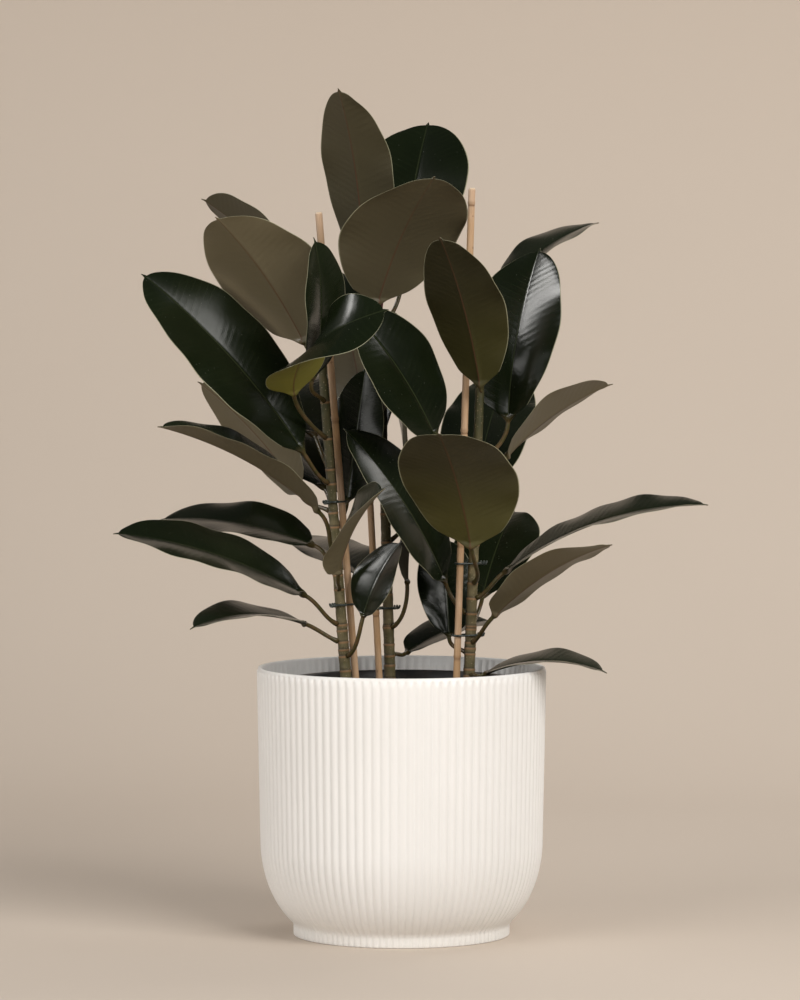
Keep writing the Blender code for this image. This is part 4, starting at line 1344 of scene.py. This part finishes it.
@dataclass
class Blade:
    """Builds one leaf's fine surface: a round stalk that flattens into the blade and ends in a drip tip.

    fullness is the power of the sine in the outline, less than 1 for a fuller leaf. throat is the least half
    width. midrib_pull is the power that draws the points towards the midrib.
    """

    name: str
    leaf: Leaf
    stalk_radius: float = 0.0022
    thickness: float = 0.0010
    midrib: float = 0.0010
    drip_tip: float = 0.005
    columns: int = 56
    stalk_rows: int = 16
    blade_rows: int = 150
    tip_rows: int = 9
    ripple: float = 0.0015
    vein_lift: float = 0.000035
    fullness: float = 0.54
    throat: float = 0.0021
    midrib_pull: float = 1.35
    rib_groove: float = 0.00035
    most_drift: float = 0.008

    def curves(self) -> tuple[list, list, Array]:
        """Return the stalk's and the blade's Bezier points, and the way the upper side faces."""
        leaf = self.leaf
        shoot = SHOOTS[leaf.shoot]
        base, tip = above_soil(leaf.base), above_soil(leaf.tip)
        length = float(np.linalg.norm(tip - base))
        along = (tip - base) / length
        upper = unit(np.array([0.0, 0.0, 1.0]) - along[2] * along)
        side = np.cross(along, upper)
        turn = math.radians(leaf.turn)
        cosine, sine = math.cos(turn), math.sin(turn)
        upper, side = upper * cosine + side * sine, side * cosine - upper * sine
        bend = length * (leaf.arch * upper + leaf.sway * side)
        blade = [base, base + (tip - base) / 3 + bend, base + (tip - base) * 2 / 3 + bend, tip]
        centre = shoot.stem_place(leaf.node)
        away = np.array([*leaf.leave, 0.0]) if leaf.leave else base - centre
        away = unit(np.array([away[0], away[1], 0.0]))
        stem = Stem(Side(leaf.shoot))
        start = centre + away * (float(stem.radius_at(np.array(leaf.node))) + stem.scar * 0.5)
        reach = float(np.linalg.norm(base - start))
        into = unit(blade[1] - base)
        rise = unit(away + np.array([0.0, 0.0, 0.4]))
        stalk = [start, start + 0.35 * reach * rise, base - 0.35 * reach * into, base]
        return stalk, blade, upper

    def half_width(self, shares: Array) -> Array:
        """Return the blade's half width: half the width times a power of a sine over its length."""
        warped = np.clip(shares, 0.0, 1.0) ** self.leaf.belly
        oval = 0.5 * self.leaf.width * np.maximum(np.sin(math.pi * warped), 0.0) ** self.fullness
        width = self.throat + (oval - self.throat) * smooth_step(shares, -0.01, 0.11) ** 0.6
        return np.maximum(width, self.throat)

    def skin(self) -> Skin:
        """Work out the whole leaf on one grid.

        Round each section runs an angle. On the stalk its cosine and sine place a round ring. On the blade
        the cosine, drawn towards the midrib, is the share out to either margin, and the sine's sign picks the
        upper or lower side. Each half of the blade follows an arc that starts at the fold angle and turns by
        the curl, so its points are sines and cosines of that angle. Side veins lift the blade as a wave along
        its length that slants forwards, and a slow wave lifts the margins.
        """
        leaf = self.leaf
        seed = int(leaf.node * 1000) + len(leaf.shoot) * 7
        rng = np.random.default_rng(seed)
        stalk, blade, upper = self.curves()
        stalk_share = np.linspace(0, 0.98, self.stalk_rows)
        step = np.linspace(0, 1, self.blade_rows)
        blade_share = 0.5 * step + 0.25 * (1 - np.cos(math.pi * step))
        place_a, forward_a = bezier(stalk, stalk_share)
        place_b, forward_b = bezier(blade, blade_share)
        length = float(np.linalg.norm(np.diff(place_b, axis=0), axis=1).sum())
        tip_share = np.linspace(0, 1, self.tip_rows + 1)[1:]
        hook = 0.10 * self.drip_tip * tip_share**2
        place_c = place_b[-1] + forward_b[-1] * self.drip_tip * tip_share[:, None] - upper * hook[:, None]
        forward_c = np.repeat(forward_b[-1:], self.tip_rows, axis=0)
        place = np.concatenate([place_a, place_b, place_c])
        forward = np.concatenate([forward_a, forward_b, forward_c])
        share = np.concatenate([-1 + 0 * stalk_share, blade_share, 1 + 0 * tip_share])
        flat = unit(np.cross(forward, upper))
        up = np.cross(flat, forward)
        twist = np.radians(leaf.twist) * np.clip(share, 0, 1)[:, None]
        up, flat = up * np.cos(twist) + flat * np.sin(twist), flat * np.cos(twist) - up * np.sin(twist)

        angle = -around(self.columns)
        cosine, sine = np.cos(angle), np.sin(angle)
        out = np.sign(cosine) * np.abs(cosine) ** self.midrib_pull
        reach = np.abs(out)[None, :]
        fold, curl = math.radians(leaf.fold), math.radians(leaf.curl) or 1e-6
        arc_x = (np.sin(fold + curl * reach) - math.sin(fold)) / curl
        arc_y = (math.cos(fold) - np.cos(fold + curl * reach)) / curl
        half = self.half_width(share)
        half[share < 0] = self.stalk_radius
        fade = 0.0020 * (1 - tip_share) ** 1.1 + 0.0003
        half[-self.tip_rows:] = fade
        half = half[:, None]
        body = smooth_step(share, 0.02, 0.2) * smooth_step(share, 1.0, 0.93)
        along = np.clip(share, 0, 1)[:, None] * length
        phase = rng.uniform(0, TURN, 4)
        margin_wave = np.where(
            cosine[None, :] >= 0,
            np.sin(along / 0.055 * math.pi + phase[0]) + 0.6 * np.sin(along / 0.027 * math.pi + phase[1]),
            np.sin(along / 0.061 * math.pi + phase[2]) + 0.6 * np.sin(along / 0.024 * math.pi + phase[3]),
        )
        wave = self.ripple * body[:, None] * margin_wave * reach**2.5
        run = along - VEIN_SLANT * reach * half
        vein = np.sin(run * TURN / VEIN_SPACING)
        pleat = self.vein_lift * body[:, None] * vein * np.sin(math.pi * np.clip(reach, 0, 1)) ** 0.7
        side = np.sign(sine)[None, :]
        edge = np.abs(sine)[None, :] ** 0.75
        rib_size = (1.0 - 0.72 * np.clip(share, 0, 1))[:, None]
        distance = reach * half
        rib_below = self.midrib * rib_size * bell(distance, 0.0019 * rib_size) * (side < 0)
        rib_groove = self.rib_groove * rib_size * bell(distance, 0.0011) * (side > 0)
        blade_x = np.sign(cosine)[None, :] * arc_x * half
        blade_y = arc_y * half + side * (self.thickness / 2) * edge - rib_below - rib_groove + wave + pleat
        round_x = cosine[None, :] * half
        round_y = sine[None, :] * half
        swell = 1.0 + 0.3 * smooth_step(stalk_share, 0.22, 0.0)
        swell = np.concatenate([swell, np.ones(len(share) - len(swell))])[:, None]
        flatten = np.concatenate([
            0 * stalk_share, smooth_step(blade_share, 0.0, 0.055), np.ones(self.tip_rows)
        ])[:, None]
        x = round_x * swell * (1 - flatten) + blade_x * flatten
        y = round_y * swell * (1 - flatten) + blade_y * flatten
        grid = place[:, None, :] + x[..., None] * flat[:, None, :] + y[..., None] * up[:, None, :]

        uv = joined(out[None, :] * half, along)
        is_upper = (sine >= -1e-9).astype(float)[None, :]
        shade = PALE_UNDERSIDES.get(self.name, float(rng.uniform(0.0, 0.35)))
        # yellow-green near the base: fresh colour, and on leaf_left_04 painted light shining through the blade
        fresh_and_lit_through = FRESH_AND_LIT_THROUGH_LEAVES.get(self.name, 0.0) * smooth_step(share, 0.75, 0.1)[:, None]
        rim = reach * smooth_step(share, 0.03, 0.1)[:, None]
        marks = {
            "leaf": joined(rim, is_upper, 1.0 - flatten, shade),
            "blush": joined(distance, fresh_and_lit_through, np.clip(share, 0, 1)[:, None], 1.0),
        }
        end = place[-1] + forward[-1] * 0.0004
        return Skin(self.name + "_blade", grid, place[0], end, uv, 0.0, marks)

    def build(self, palette: Palette) -> None:
        """Build the leaf and set it in place of its frame node."""
        piece = self.skin().place(palette.leaf)
        low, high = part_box(self.name)
        points = mesh_points(piece)
        drift = max(np.abs(points.min(0) - np.array(low)).max(), np.abs(points.max(0) - np.array(high)).max())
        if drift > self.most_drift:
            LOG.warning("%s stands %.1f mm off its frame node", self.name, drift * 1000)
        keep(piece, "leaf", self.name)


@dataclass
class Foliage:
    """The whole crown: stems, canes, buds, ties and leaves."""

    ties: dict = field(default_factory=lambda: {
        "tie_left_lower": ("left", 0.088), "tie_left_upper": ("left", 0.195),
        "tie_middle_lower": ("middle", 0.080), "tie_middle_upper": ("middle", 0.200),
        "tie_right_lower": ("right", 0.055), "tie_right_upper": ("right", 0.130),
    })

    def build(self, palette: Palette) -> None:
        """Build the three staked shoots and every leaf on them."""
        for side in Side:
            Stem(side).build(palette)
            Cane(side).build(palette)
            Bud(side).build(palette)
        for name, (side, height) in self.ties.items():
            Tie(Side(side), name, height).build(palette)
        for name, leaf in LEAVES.items():
            Blade(name, leaf).build(palette)


# ---------------------------------------------------------------- studio


class Shine(Enum):
    """What a light shows as: a highlight alone, or matt light without a highlight."""

    GLOSS = "gloss"
    MATT = "matt"


WARM_LIGHT = (1.0, 0.975, 0.94)
PALE_LIGHT = (1.0, 0.98, 0.95)


@dataclass
class Studio:
    """A plain beige sweep, soft light from the front right, and the camera."""

    distance: float = 4.9
    eye_height: float = 0.685
    lens: float = 169.6
    tilt: float = 2.7

    def build(self, palette: Palette) -> None:
        """Set the sweep, the lights, the sky and the camera."""
        self.sweep(palette)
        self.area("key_light", (1.8, -2.5, 2.3), (0.0, 0.0, 0.45), (2.2, 2.2), 110.0, WARM_LIGHT)
        self.area("fill_light", (-2.6, -2.4, 1.4), (0.0, 0.0, 0.40), (2.4, 2.4), 60.0, WARM_LIGHT)
        self.area("rim_light", (1.6, 1.3, 1.9), (0.0, 0.0, 0.55), (0.7, 1.2), 8.0, PALE_LIGHT)
        self.area(
            "side_light", (-2.36, 0.46, 2.03), (0.12, 0.02, 0.63), (0.7, 1.6), 64.0, PALE_LIGHT, Shine.GLOSS
        )
        self.area("back_light", (0.5, 2.1, 2.3), (0.0, 0.0, 0.4), (2.2, 1.2), 16.0, WARM_LIGHT, Shine.MATT)
        world = bpy.data.worlds.new("studio_air")
        world.use_nodes = True
        background = world.node_tree.nodes["Background"]
        background.inputs[0].default_value = colour(1.0, 0.985, 0.965)
        sheet = Sheet(world.node_tree)
        mirrored = sheet.add("LightPath").outputs["Is Glossy Ray"]
        sheet.link(sheet.remap(mirrored, 0.0, 1.0, 0.29, 0.05), background.inputs[1])
        bpy.context.scene.world = world
        bpy.context.scene.view_settings.view_transform = "Standard"
        self.camera()

    def sweep(self, palette: Palette) -> None:
        """Lay the floor and curve it up into the wall: a quarter circle between two flat stretches."""
        turn = np.linspace(-math.pi / 2, 0, 20)
        bend, back = 1.2, 2.4
        depth = np.concatenate([[-9.0, 0.0], back - bend + bend * np.cos(turn), [back]])
        height = np.concatenate([[0.0, 0.0], bend + bend * np.sin(turn), [2.4]])
        width = np.linspace(-7.0, 7.0, 12)
        grid = joined(width[None, :], depth[:, None], height[:, None])
        self.spread("studio_sweep", grid, palette)
        side = np.linspace(-40.0, 40.0, 21)
        floor = joined(side[None, :], side[:, None], -0.001)
        self.spread("studio_floor", floor, palette)

    def spread(self, name: str, grid: Array, palette: Palette) -> None:
        """Make one open sheet of paper from rows of points.

        Args:
            name: the sheet's name.
            grid: its points by row and column, which face upwards or forwards.
            palette: the finishes.
        """
        rows, columns, _ = grid.shape
        row, column = np.meshgrid(np.arange(rows - 1), np.arange(columns - 1), indexing="ij")
        first = (row * columns + column).ravel()
        faces = np.stack([first, first + 1, first + 1 + columns, first + columns], axis=-1)
        mesh = bpy.data.meshes.new(name)
        mesh.from_pydata(grid.reshape(-1, 3).tolist(), [], faces.tolist())
        mesh.shade_smooth()
        mesh.materials.append(palette.paper)
        made = put(name, mesh)

    def area(
        self, name: str, place: tuple, aim: tuple, size: tuple, watts: float, tint: tuple,
        shine: Optional[Shine] = None,
    ) -> None:
        """Add a soft rectangular light at a place, aimed at a point.

        Args:
            name: the light's name.
            place: where it stands.
            aim: the point that it faces.
            size: its width and height.
            watts: its power.
            tint: its colour.
            shine: what it lights, or None for a light that shows in full.
        """
        lamp = bpy.data.lights.new(name, "AREA")
        lamp.shape = "RECTANGLE"
        lamp.size, lamp.size_y = size
        lamp.energy = watts
        lamp.color = tint
        made = put(name, lamp)
        made.location = place
        made.rotation_euler = (Vector(aim) - Vector(place)).to_track_quat("-Z", "Y").to_euler()
        made.visible_diffuse = shine is not Shine.GLOSS
        made.visible_glossy = shine is not Shine.MATT
        made.visible_camera = False

    def camera(self) -> None:
        """Set a long lens a little above the pot's rim, tilted slightly down."""
        lens = bpy.data.cameras.new("camera")
        lens.lens = self.lens
        lens.sensor_width = 36.0
        made = put("camera", lens)
        made.location = (-0.0016, -self.distance, self.eye_height)
        made.rotation_euler = (math.radians(90.0 - self.tilt), 0.0, 0.0)
        bpy.context.scene.camera = made


def main() -> None:
    """Build every piece in order."""
    logging.basicConfig(level=logging.INFO, format="%(message)s")
    palette = Palette.mixed()
    CoverPot().build(palette)
    NurseryPot().build(palette)
    Soil().build(palette)
    Foliage().build(palette)
    Studio().build(palette)


if __name__ == "__main__":
    main()
